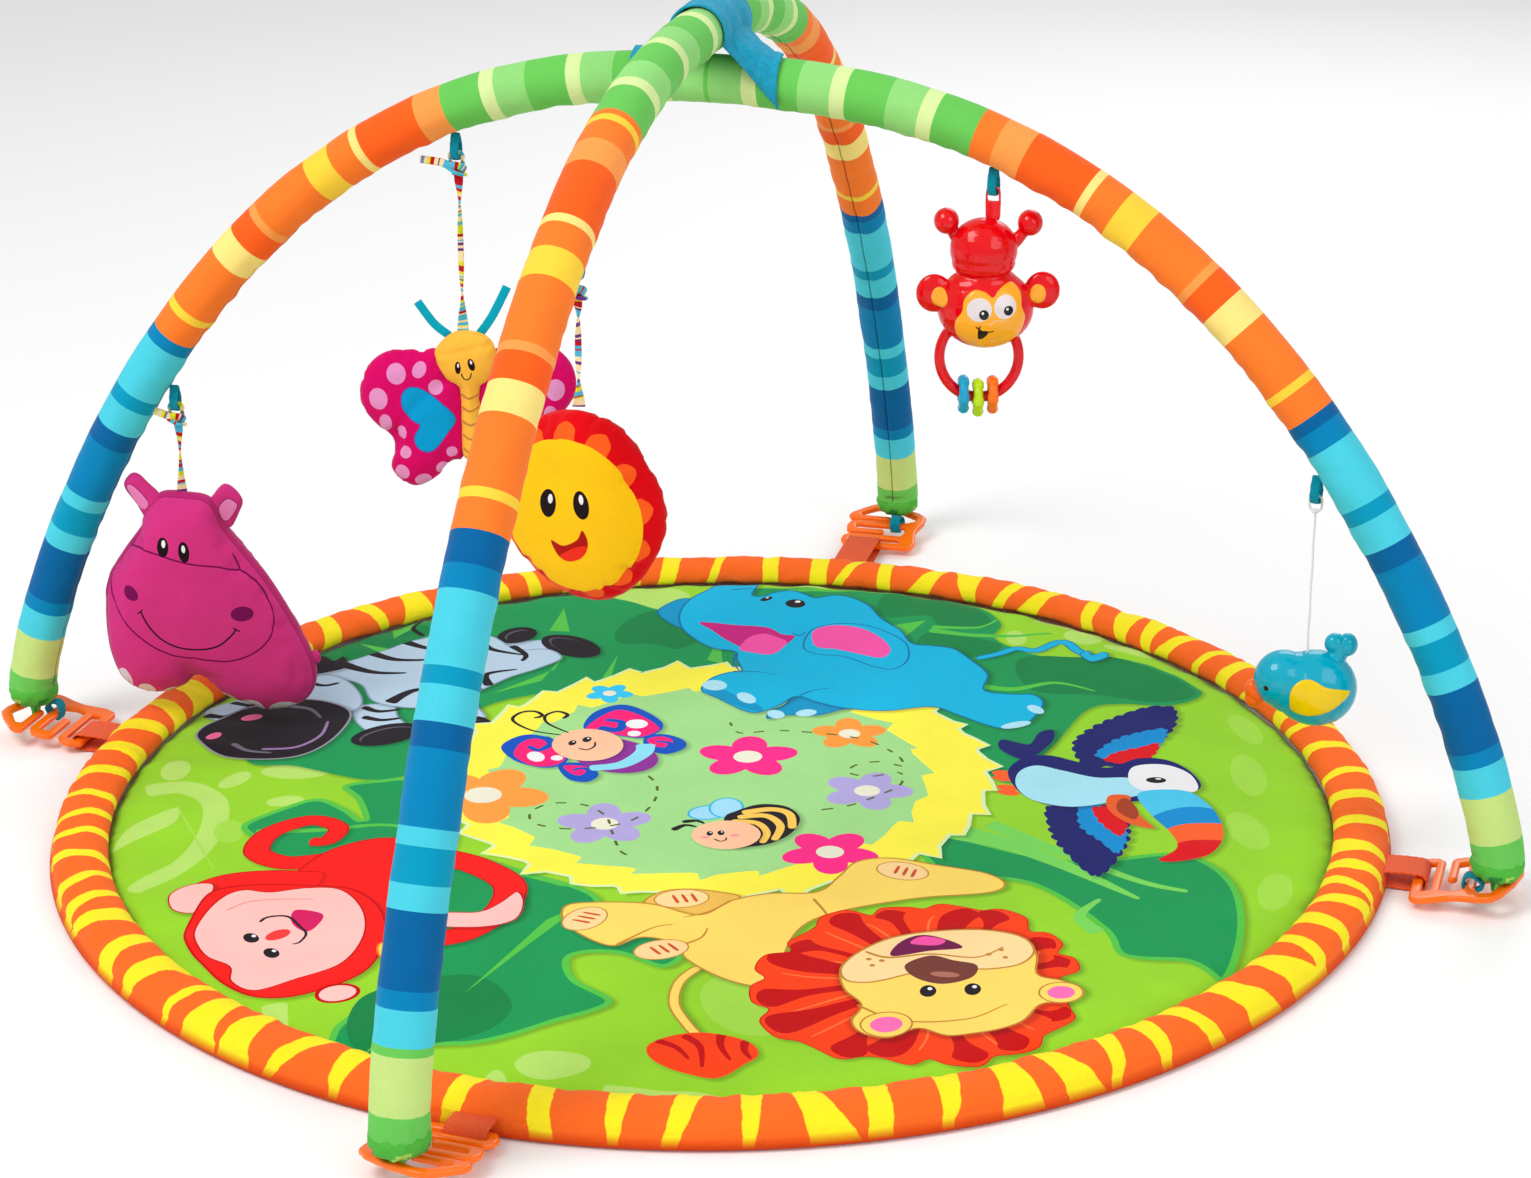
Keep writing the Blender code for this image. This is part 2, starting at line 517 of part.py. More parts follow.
rings = [[over_face(-0.0015 + (x / 1000 + 0.0015) * s, -0.0645 + (y / 1000 + 0.0645) * s, d) for x, y in face]
         for s, d in ((0.15, 0.0), (0.45, 0.0), (0.75, 0.0), (1.0, 0.0), (1.0, 0.0008), (0.75, 0.0008), (0.45, 0.0008),
                     (0.15, 0.0008))]
add("monkey_face", *loft(rings), AMBER, 0.3, pivot)
for i, (x, y) in enumerate(((-9, -72), (4, -71.5))):
    add(f"monkey_bead_{i + 1}", *ellipsoid(point(x, y), (0.0028, 0.0028, 0.0028), (right, front, up), 8, 6),
        WHITE, 0.3, pivot)
for name, x, y, colour in (("cyan", -14.0, -107.6, CYAN), ("lime", -6.2, -109.4, LIME), ("orange", 1.6, -107.8,
                                                                                     LINK_ORANGE)):
    centre = point(x, y)
    shape = []
    for i in range(20):
        a = 2 * math.pi * i / 20
        out = front * math.cos(a) + up * math.sin(a)
        knob = 0.0009 if i % 4 < 2 else 0.0
        section = ((0.0047, -0.0020), (0.0060, -0.0031), (0.0092 + knob, -0.0027), (0.0102 + knob, 0.0),
                   (0.0092 + knob, 0.0027), (0.0060, 0.0031), (0.0047, 0.0020))
        shape.append([centre + out * r + right * w for r, w in section])
    add(f"rattle_ring_{name}", *loft(shape, joined=True), colour, 0.25, centre)

# pull-string bird: two moulded halves round a cord spool
pivot, axis = terry_loop("toy_loop_bird", "right", 0.732)
across = axis.cross(UP)
stopper = [(-4.6, -11.0), (4.6, -11.0), (4.6, 0.4), (4.2, 0.8), (-4.2, 0.8), (-4.6, 0.4)]
stopper_place = lambda s, z, d: pivot + axis * s + UP * z + across * d
add("bird_stopper", *plate(to_metres(stopper), [to_metres(clip_hole)], 0.0024, 0.0003, stopper_place),
    WHITE, 0.3, pivot)
place, axes = facing(pivot, 0.0, (1.045, TALL, 1.045))
right, up, front = axes
bird_pivot, cord_top, cord_end = point(0, -99), pivot - UP * 0.0113, point(0, -105)
cord = rod([cord_top.lerp(cord_end, i / 6) for i in range(7)], front, 0.00075, 8)
add("bird_cord", *cord, WHITE, 0.6, cord_top)
belly = ellipsoid(point(6, -123.5), (0.0262, 0.0185, 0.0245), (right, front, up), 18, 10)
parts = [("UNION", ellipsoid(point(-14, -117.5), (0.0190, 0.0165, 0.0185), (right, front, up), 16, 9)),
         ("UNION", ellipsoid(point(-32, -128.5), (0.0066, 0.0055, 0.0088), (right, front, up), 10, 7)),
         ("UNION", rod([point(14, -110), point(20, -97)], front, 0.0065, 10)),
         ("UNION", ellipsoid(point(20, -95), (0.0105, 0.0062, 0.0075), (right, front, up), 12, 7)),
         ("DIFFERENCE", ellipsoid(point(0, -122), (0.0225, 0.0130, 0.0165), (right, front, up), 12, 8)),
         ("DIFFERENCE", rod([point(0, -85), point(0, -112)], front, 0.0012, 8))]
for half_name, low_depth, high_depth in (("front", 0.15, 40), ("back", -40, -0.15)):
    box = [[point(x, y, d) for x, y in ((-60, -170), (60, -170), (60, 10), (-60, 10))] for d in (low_depth, high_depth)]
    combine(f"bird_{half_name}", belly, parts + [("INTERSECT", loft(box))], CYAN, 0.2, bird_pivot)
spool = [circle(point(0, -122, d), right, up, r, 14) for d, r in
         ((-4, 0.0095), (-2.5, 0.0095), (-2.3, 0.0045), (2.3, 0.0045), (2.5, 0.0095), (4, 0.0095))]
add("bird_spool", *loft(spool), WHITE, 0.4, bird_pivot)
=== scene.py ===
"""Looks of the activity play gym: printed mat, striped arches, plush toys and rattles on the CAD frame."""
import math
import random

import bmesh
import bpy
import numpy as np
from mathutils import Matrix, Vector, geometry, noise
from mathutils.bvhtree import BVHTree


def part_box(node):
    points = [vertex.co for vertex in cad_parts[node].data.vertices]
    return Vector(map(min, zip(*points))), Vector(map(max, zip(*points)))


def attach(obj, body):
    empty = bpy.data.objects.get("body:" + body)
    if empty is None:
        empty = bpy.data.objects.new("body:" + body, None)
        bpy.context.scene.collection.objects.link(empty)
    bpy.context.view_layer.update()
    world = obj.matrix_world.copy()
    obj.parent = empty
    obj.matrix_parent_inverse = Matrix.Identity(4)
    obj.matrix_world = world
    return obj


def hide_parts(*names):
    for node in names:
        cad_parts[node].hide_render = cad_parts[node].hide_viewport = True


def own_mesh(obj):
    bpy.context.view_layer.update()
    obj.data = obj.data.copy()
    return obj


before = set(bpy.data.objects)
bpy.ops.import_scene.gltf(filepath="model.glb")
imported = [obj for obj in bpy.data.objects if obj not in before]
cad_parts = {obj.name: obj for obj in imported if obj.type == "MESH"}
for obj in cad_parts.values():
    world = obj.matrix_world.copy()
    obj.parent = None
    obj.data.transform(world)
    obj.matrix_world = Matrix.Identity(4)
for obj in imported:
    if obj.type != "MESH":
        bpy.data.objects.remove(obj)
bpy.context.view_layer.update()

# ---------------------------------------------------------------- camera
VIEW_AZIMUTH, VIEW_PITCH = math.radians(15), math.radians(19.95)
VIEW_RIGHT = Vector((math.cos(VIEW_AZIMUTH), math.sin(VIEW_AZIMUTH), 0))
VIEW_AWAY = Vector((-math.sin(VIEW_AZIMUTH), math.cos(VIEW_AZIMUTH), 0))
UP = Vector((0, 0, 1))

camera = bpy.data.objects.new("camera", bpy.data.cameras.new("camera"))
bpy.context.scene.collection.objects.link(camera)
camera.location = (0.575, -1.9375, 0.93)
camera.rotation_euler = (math.radians(90) - VIEW_PITCH, 0, VIEW_AZIMUTH)
camera.data.lens, camera.data.sensor_width = 75.2, 36
camera.data.shift_x, camera.data.shift_y = -0.0304, -0.0418
camera.data.clip_start = 0.05
bpy.context.scene.camera = camera


# ---------------------------------------------------------------- colours and materials
def rgb(r, g, b):
    """Linear colour from the 0 to 255 values of a screen colour."""
    return tuple(c / 12.92 if c <= 0.04045 else ((c + 0.055)
                                                 / 1.055) ** 2.4 for c in (r / 255, g / 255, b / 255))


def node_material(name):
    """Empty Principled material with its node tree and shader."""
    material = bpy.data.materials.new(name)
    material.use_nodes = True
    return material, material.node_tree, material.node_tree.nodes["Principled BSDF"]


def new_node(tree, kind, **settings):
    """Adds a node, with its properties or inputs set."""
    node = tree.nodes.new(kind)
    for key, value in settings.items():
        if key in node.inputs:
            node.inputs[key].default_value = value
        else:
            setattr(node, key, value)
    return node


def noise_at(tree, scale, detail=2.0, roughness=0.5):
    """Noise in the piece's own coordinates, scale in features per metre."""
    where = tree.nodes.get("where") or tree.nodes.new("ShaderNodeTexCoord")
    where.name = "where"
    texture = new_node(tree, "ShaderNodeTexNoise", Scale=scale, Detail=detail, Roughness=roughness)
    tree.links.new(where.outputs["Object"], texture.inputs["Vector"])
    return texture.outputs["Fac"]


def blend_colours(tree, first, second, factor, kind="MIX"):
    """Mix node; each colour is a tuple or an output socket."""
    mix = new_node(tree, "ShaderNodeMix", data_type="RGBA", blend_type=kind)
    for socket, value in ((mix.inputs[0], factor), (mix.inputs[6], first), (mix.inputs[7], second)):
        if isinstance(value, bpy.types.NodeSocket):
            tree.links.new(value, socket)
        else:
            socket.default_value = (*value, 1) if isinstance(value, tuple) else value
    return mix.outputs[2]


def ranged(tree, value, low, high, to_low, to_high):
    """Maps one range of a value to another."""
    remap = new_node(tree, "ShaderNodeMapRange")
    for i, number in enumerate((low, high, to_low, to_high)):
        remap.inputs[i + 1].default_value = number
    tree.links.new(value, remap.inputs[0])
    return remap.outputs[0]


def bumped(tree, shader, layers):
    """Chain of bump nodes from (height socket, depth in metres) pairs."""
    normal = None
    for height, depth in layers:
        bump = new_node(tree, "ShaderNodeBump", Distance=depth, Strength=1.0)
        tree.links.new(height, bump.inputs["Height"])
        if normal:
            tree.links.new(normal, bump.inputs["Normal"])
        normal = bump.outputs["Normal"]
    tree.links.new(normal, shader.inputs["Normal"])


def cloth(name, colour=None, grain=0.0008, depth=0.00012, sheen=0.04, mottle=0.10, rough=0.85,
          crease=0.0003):
    """Woven or knitted fabric; without a colour it takes the mesh's own printed colours."""
    material, tree, shader = node_material(name)
    if colour is None:
        base = new_node(tree, "ShaderNodeAttribute", attribute_name="print").outputs["Color"]
    else:
        base = colour
    yarn = noise_at(tree, 1 / grain, 3.0, 0.7)
    patch = noise_at(tree, 22.0, 3.0)
    shade = ranged(tree, yarn, 0.3, 0.7, 1.0 - mottle, 1.0 + mottle * 0.4)
    tinted = blend_colours(tree, base, shade, 1.0, "MULTIPLY")
    wear_and_shade = blend_colours(tree, tinted, ranged(tree, patch, 0.3, 0.7, 0.95, 1.03), 1.0, "MULTIPLY")
    tree.links.new(wear_and_shade, shader.inputs["Base Color"])
    tree.links.new(ranged(tree, patch, 0.3, 0.7, rough - 0.06, rough + 0.06), shader.inputs["Roughness"])
    shader.inputs["Sheen Weight"].default_value = sheen
    shader.inputs["Sheen Roughness"].default_value = 0.4
    shader.inputs["Specular IOR Level"].default_value = 0.1
    bumped(tree, shader, [(patch, crease), (yarn, depth)])
    return material


def terry(name, colour):
    """Looped pile: small round knots of yarn."""
    material, tree, shader = node_material(name)
    where = tree.nodes.new("ShaderNodeTexCoord")
    loops = new_node(tree, "ShaderNodeTexVoronoi", Scale=900.0, Randomness=0.9)
    tree.links.new(where.outputs["Object"], loops.inputs["Vector"])
    nap = noise_at(tree, 160.0, 4.0, 0.65)
    # painted shade and highlight: each loop is lightened at its centre and darkened towards its edge, in step with the
    # loop bump
    shade = ranged(tree, loops.outputs["Distance"], 0.0, 0.6, 1.12, 0.72)
    tinted = blend_colours(tree, colour, shade, 1.0, "MULTIPLY")
    # darker where the nap bump is low and lighter where it is high
    wear_and_shade = blend_colours(tree, tinted, ranged(tree, nap, 0.3, 0.7, 0.86, 1.12), 1.0, "MULTIPLY")
    tree.links.new(wear_and_shade, shader.inputs["Base Color"])
    shader.inputs["Roughness"].default_value = 0.95
    shader.inputs["Sheen Weight"].default_value = 0.12
    shader.inputs["Specular IOR Level"].default_value = 0.1
    bumped(tree, shader, [(nap, 0.0008),
                          (ranged(tree, loops.outputs["Distance"], 0.0, 0.6, 1.0, 0.0), 0.0005)])
    return material


def moulded(name, colour=None, rough=0.16):
    """Glossy injection-moulded plastic with faint flow marks and fine scuffs."""
    material, tree, shader = node_material(name)
    if colour is None:
        base = new_node(tree, "ShaderNodeAttribute", attribute_name="print").outputs["Color"]
    else:
        base = colour
    flow = noise_at(tree, 35.0, 2.0)
    scuff = noise_at(tree, 700.0, 4.0, 0.8)
    tinted = blend_colours(tree, base, ranged(tree, flow, 0.3, 0.7, 0.95, 1.03), 1.0, "MULTIPLY")
    tree.links.new(tinted, shader.inputs["Base Color"])
    tree.links.new(ranged(tree, scuff, 0.35, 0.75, rough, rough + 0.12), shader.inputs["Roughness"])
    shader.inputs["Specular IOR Level"].default_value = 0.25
    shader.inputs["Coat Weight"].default_value = 0.25
    shader.inputs["Coat Roughness"].default_value = 0.06
    bumped(tree, shader, [(flow, 0.0002), (scuff, 0.00001)])
    return material


# ---------------------------------------------------------------- curves and outlines
def smooth(points, closed=True, step=3.0):
    """Catmull-Rom curve through the points, sampled about every step units."""
    points = [Vector(p) for p in points]
    count = len(points)
    curve = []
    for i in range(count if closed else count - 1):
        if closed:
            p0, p1, p2, p3 = (points[(i + k) % count] for k in (-1, 0, 1, 2))
        else:
            p0, p1, p2, p3 = (points[min(max(i + k, 0), count - 1)] for k in (-1, 0, 1, 2))
        parts = max(2, round((p2 - p1).length / step))
        for k in range(parts):
            t = k / parts
            curve.append(0.5 * (2 * p1 + (p2 - p0) * t + (2 * p0 - 5 * p1 + 4 * p2 - p3) * t * t
                                + (3 * p1 - p0 - 3 * p2 + p3) * t ** 3))
    if not closed:
        curve.append(points[-1])
    return curve


def oval(x, y, rx, ry, turn=0.0, step=3.0):
    """Ellipse turned anticlockwise by turn degrees."""
    count = max(10, round(math.tau * max(rx, ry) / step))
    spin = Matrix.Rotation(math.radians(turn), 2)
    return [Vector((x, y)) + spin @ Vector((rx * math.cos(a), ry * math.sin(a)))
            for a in (math.tau * i / count for i in range(count))]


def stroke(points, width, tip=None, step=3.0):
    """Outline of a brush line through the points, its width going from width to tip."""
    tip = width if tip is None else tip
    line = smooth(points, False, step)
    left, right = [], []
    for i, p in enumerate(line):
        along = (line[min(i + 1, len(line) - 1)] - line[max(i - 1, 0)]).normalized()
        share = i / (len(line) - 1)
        half = (width + (tip - width) * share) / 2 * (1 if 0 < i < len(line) - 1 else 0.55)
        side = Vector((-along.y, along.x)) * half
        left.append(p + side)
        right.append(p - side)
    return left + right[::-1]


def shifted(points, dx, dy):
    """Outline moved by dx, dy."""
    return [Vector((p[0] + dx, p[1] + dy)) for p in points]


def inset(points, amount):
    """Closed outline moved inwards by amount."""
    points = [Vector(p) for p in points]
    area = sum(a.x * b.y - b.x * a.y for a, b in zip(points, points[1:] + points[:1]))
    turn = 1 if area > 0 else -1
    moved = []
    for i, p in enumerate(points):
        along = points[(i + 1) % len(points)] - points[i - 1]
        moved.append(p + Vector((-along.y, along.x)).normalized() * amount * turn)
    return moved


def ragged(x, y, rx, ry, tufts, depth, seed):
    """Round outline with slanting tufts of the given depth."""
    draw = random.Random(seed)
    points = []
    for i in range(tufts):
        for share, reach in ((0.0, 0.0), (0.45, 0.35), (0.8, 1.0), (0.88, 0.1)):
            a = -math.tau * (i + share + draw.uniform(-0.08, 0.08)) / tufts
            lift = 1 + reach * depth * draw.uniform(0.6, 1.3) / max(rx, ry)
            points.append(Vector((x + rx * lift * math.cos(a), y + ry * lift * math.sin(a))))
    return points


def inside(outline, points):
    """Even-odd test of many points (n, 2) against one outline."""
    x, y = points[:, 0], points[:, 1]
    hit = np.zeros(len(points), bool)
    corners = [(float(p[0]), float(p[1])) for p in outline]
    for (ax, ay), (bx, by) in zip(corners, corners[1:] + corners[:1]):
        if ay != by:
            crossing = (ay > y) != (by > y)
            hit ^= crossing & (x < (bx - ax) * (y - ay) / (by - ay) + ax)
    return hit


def edge_distance(outline, points):
    """Distance of many points (n, 2) from an outline."""
    best = np.full(len(points), 1e9)
    corners = np.array([(p[0], p[1]) for p in outline], float)
    for a, b in zip(corners, np.roll(corners, -1, 0)):
        d = b - a
        t = np.clip(((points - a) @ d) / max(d @ d, 1e-12), 0, 1)
        best = np.minimum(best, np.hypot(*(points - a - t[:, None] * d).T))
    return best


def printed(outline, regions, base, spacing):
    """Flat triangles cut along every printed outline. Returns points (n, 2), triangles and a colour for each.
    A region is (colour, outline) or (colour, outline, the outline it stays within); a number darkens what is there."""
    points, edges = [], []
    for loop in [outline] + [part for r in regions for part in r[1:]]:
        start = len(points)
        points += [Vector(p) for p in loop]
        edges += [(start + i, start + (i + 1) % len(loop)) for i in range(len(loop))]
    corners = np.array([(p[0], p[1]) for p in outline])
    low, high = corners.min(0), corners.max(0)
    rows = int((high[1] - low[1]) / (spacing * 0.87))
    grid = np.array([(low[0] + spacing * (i + 0.5 * (j % 2)), low[1] + spacing * 0.87 * (j + 0.5))
                     for j in range(rows) for i in range(int((high[0] - low[0]) / spacing) + 1)])
    grid = grid[inside(outline, grid)]
    grid = grid[edge_distance(outline, grid) > spacing * 0.4]
    points += [Vector(p) for p in grid]
    flat, _, faces, *_ = geometry.delaunay_2d_cdt(points, edges, [], 1, 0.02)
    flat = np.array([(p.x, p.y) for p in flat])
    triangles = np.array([f for f in faces if len(f) == 3])
    middles = flat[triangles].mean(1)
    keep = inside(outline, middles)
    triangles, middles = triangles[keep], middles[keep]
    colours = np.tile(np.array(base, float), (len(triangles), 1))
    for colour, *loops in regions:
        hit = np.logical_and.reduce([inside(loop, middles) for loop in loops])
        if isinstance(colour, float):
            colours[hit] *= colour
        else:
            colours[hit] = colour
    used = np.unique(triangles)
    renumber = np.full(len(flat), -1)
    renumber[used] = np.arange(len(used))
    return flat[used], renumber[triangles], colours


# ---------------------------------------------------------------- mesh building
def make(name, verts, faces, material, body, stands_for=(), colours=None, floats=None):
    """Mesh object riding on a CAD body. colours has one entry per face; floats maps a name to vertex values."""
    mesh = bpy.data.meshes.new(name)
    mesh.from_pydata([tuple(v) for v in verts], [], [tuple(int(i) for i in f) for f in faces])
    mesh.materials.append(material)
    mesh.shade_smooth()
    if colours is not None:
        layer = mesh.attributes.new("print", "FLOAT_COLOR", "CORNER")
        sizes = [len(p.vertices) for p in mesh.polygons]
        spread = np.repeat(np.asarray(colours, float), sizes, axis=0)
        layer.data.foreach_set("color", np.hstack([spread, np.ones((len(spread), 1))]).ravel())
    for key, values in (floats or {}).items():
        mesh.attributes.new(key, "FLOAT", "POINT").data.foreach_set("value", np.asarray(values, np.float32))
    obj = bpy.data.objects.new(name, mesh)
    bpy.context.scene.collection.objects.link(obj)
    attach(obj, body)
    if stands_for:
        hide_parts(*stands_for)
    return obj


def tube_rings(rings, closed_ends=True, joined=False):
    """Vertices and faces of a skin through rings of equal point count."""
    count = len(rings[0])
    verts = [p for ring in rings for p in ring]
    faces = []
    for i in range(len(rings) if joined else len(rings) - 1):
        low, high = i * count, (i + 1) % len(rings) * count
        faces += [(low + j, low + (j + 1) % count, high + (j + 1) % count, high + j) for j in range(count)]
    if closed_ends and not joined:
        faces += [tuple(reversed(range(count))), tuple(range(len(verts) - count, len(verts)))]
    return verts, faces


def soft_shades(regions):
    """Printed shadows with a soft edge: each "shade" is laid as three nested weaker ones."""
    layers = []
    for colour, *loops in regions:
        if colour == "shade":
            layers += [(share, inset(loops[0], grow), *loops[1:]) for share, grow in
                       ((0.90, -2.2), (0.86, -0.8), (0.80, 0.8))]
        else:
            layers.append((colour, *loops))
    return layers


# ---------------------------------------------------------------- floor, light and picture settings
scene = bpy.context.scene
scene.view_settings.view_transform = "Standard"
scene.view_settings.look = "None"


def backdrop():
    """Plain pale floor: one wide flat sheet."""
    count, reach = 24, 12.0
    verts = [Vector((-reach + 2 * reach * i / count, -reach + 2 * reach * j / count, -0.0004))
             for j in range(count + 1) for i in range(count + 1)]
    faces = [(j * (count + 1) + i, j * (count + 1) + i + 1, (j + 1) * (count + 1) + i + 1,
              (j + 1) * (count + 1) + i)
             for j in range(count) for i in range(count)]
    mesh = bpy.data.meshes.new("floor")
    mesh.from_pydata([tuple(v) for v in verts], [], faces)
    material, _, shader = node_material("floor")
    shader.inputs["Base Color"].default_value = (0.96, 0.96, 0.965, 1)
    shader.inputs["Roughness"].default_value = 0.9
    shader.inputs["Specular IOR Level"].default_value = 0.1
    mesh.materials.append(material)
    floor = bpy.data.objects.new("floor", mesh)
    scene.collection.objects.link(floor)
    return floor


def softbox(name, place, target, size, power, colour=(1, 1, 1)):
    """Round area light aimed at a target."""
    light = bpy.data.lights.new(name, "AREA")
    light.shape, light.size, light.energy, light.color = "DISK", size, power, colour
    lamp = bpy.data.objects.new(name, light)
    scene.collection.objects.link(lamp)
    lamp.location = place
    lamp.rotation_euler = (Vector(target) - Vector(place)).to_track_quat("-Z", "Y").to_euler()
    return lamp


world = bpy.data.worlds.new("studio")
scene.world = world
world.use_nodes = True
world.node_tree.nodes["Background"].inputs["Color"].default_value = (1.0, 1.0, 1.0, 1)
world.node_tree.nodes["Background"].inputs["Strength"].default_value = 0.62
backdrop()
softbox("key", (-1.2, -1.5, 2.6), (0, 0, 0.1), 1.6, 46, (1.0, 0.99, 0.97))
softbox("fill", (2.2, -1.6, 1.6), (0, 0, 0.2), 1.8, 18, (0.97, 0.98, 1.0))
softbox("back", (0.3, 2.4, 1.8), (0, 0, 0.2), 1.6, 16)


# ---------------------------------------------------------------- the printed mat
RIM_LOW, RIM_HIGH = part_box("mat_rim")
MAT_CENTRE = Vector(((RIM_LOW.x + RIM_HIGH.x) / 2, (RIM_LOW.y + RIM_HIGH.y) / 2, 0))
MAT_RADIUS = (RIM_HIGH.x - RIM_LOW.x) / 2
RIM_WIDTH, RIM_HEIGHT, BINDING = 0.038, RIM_HIGH.z, 0.0060
PAD_RADIUS = 1000 * (MAT_RADIUS - RIM_WIDTH) + 1.0
BULGE, BULGE_FROM = 3.0, math.radians(-100)   # millimetres, and the direction the soft mat sags in most


def spread(azimuth):
    """How far the soft mat lies outside its nominal circle in this direction, in millimetres."""
    return BULGE * (1 + math.cos(azimuth - BULGE_FROM))


GRASS, LEAF, DEEP, SPRIG, PALE = rgb(150, 214, 44), rgb(22, 152,
                                                        84), rgb(16, 132, 70), rgb(84, 196, 72), rgb(182, 226, 108)
STRAW, STRAW_EDGE, MINT = rgb(255, 244, 74), rgb(222, 242, 178), rgb(163, 222, 142)
SKIN, INK, SNOW, TRAIL = rgb(255, 198, 160), rgb(32, 26, 34), rgb(240, 240, 244), rgb(84, 104, 44)
AQUA, AQUA_LINE, AQUA_DARK, TOE = rgb(0, 182, 226), rgb(0, 112, 170), rgb(0, 150, 200), rgb(176, 228, 246)
ROSE, CERISE, HOT = rgb(246, 82, 168), rgb(200, 28, 128), rgb(255, 40, 140)
NAVY, BEAK_BLUE, BELLY, FLAME, CRIMSON = (rgb(26, 30, 108), rgb(0, 142, 212), rgb(168, 228, 245),
                                          rgb(255, 98, 40),
                                          rgb(222, 8, 22))
FUR, FUR_PALE, FUR_LINE, MANE, MANE_DARK = (rgb(255, 220, 104), rgb(255, 221, 158), rgb(196, 134, 50),
                                            rgb(255, 66, 16), rgb(198, 0, 4))
APE, APE_LINE, BLUSH = rgb(255, 24, 20), rgb(196, 0, 6), rgb(255, 196, 190)
MIST, MIST_LINE, VIOLET, ROYAL = rgb(184, 210, 230), rgb(140, 160, 190), rgb(140, 46, 152), rgb(0, 82, 192)


def animal(outline, fill, line, width=1.4):
    """A filled shape with a darker contour and the soft shadow printed round it."""
    return [("shade", shifted(inset(outline, -1.0), 2.2, -2.2)), (line, outline),
            (fill, inset(outline, width))]


def eye(x, y, rx, ry, turn=0):
    """Printed eye."""
    glint = Vector((x + rx * 0.25, y + ry * 0.4))
    return [(INK, oval(x, y, rx, ry, turn, 1.5)),
            (SNOW, oval(glint.x, glint.y, rx * 0.3, ry * 0.26, turn, 1.0))]


def flower(x, y, radius, colour, turn):
    """Printed flower with round petals."""
    petals = [(colour, oval(x + 0.56 * radius * math.cos(a), y + 0.56 * radius * math.sin(a), 0.50 * radius,
                            0.37 * radius, math.degrees(a))) for a in
              (math.radians(turn + 72 * i) for i in range(5))]
    return petals + [(rgb(238, 236, 214), oval(x, y, radius * 0.30, radius * 0.30))]


def trail(points):
    """Dashed line along a curve."""
    line = smooth(points, False, 1.5)
    return [(TRAIL, stroke(line[i:i + 6], 2.0, 2.0, 3.0)) for i in range(0, len(line) - 6, 11)]


def feathered(points, lobe, out):
    """Closed outline whose edges carry rounded feather ends of the given size."""
    line = smooth(points, True, 1.0)
    centre = sum(line, Vector((0, 0))) / len(line)
    return [centre + (p - centre) * (1 + out * abs(math.sin(math.pi * i / lobe)) / (p - centre).length)
            for i, p in enumerate(line)]


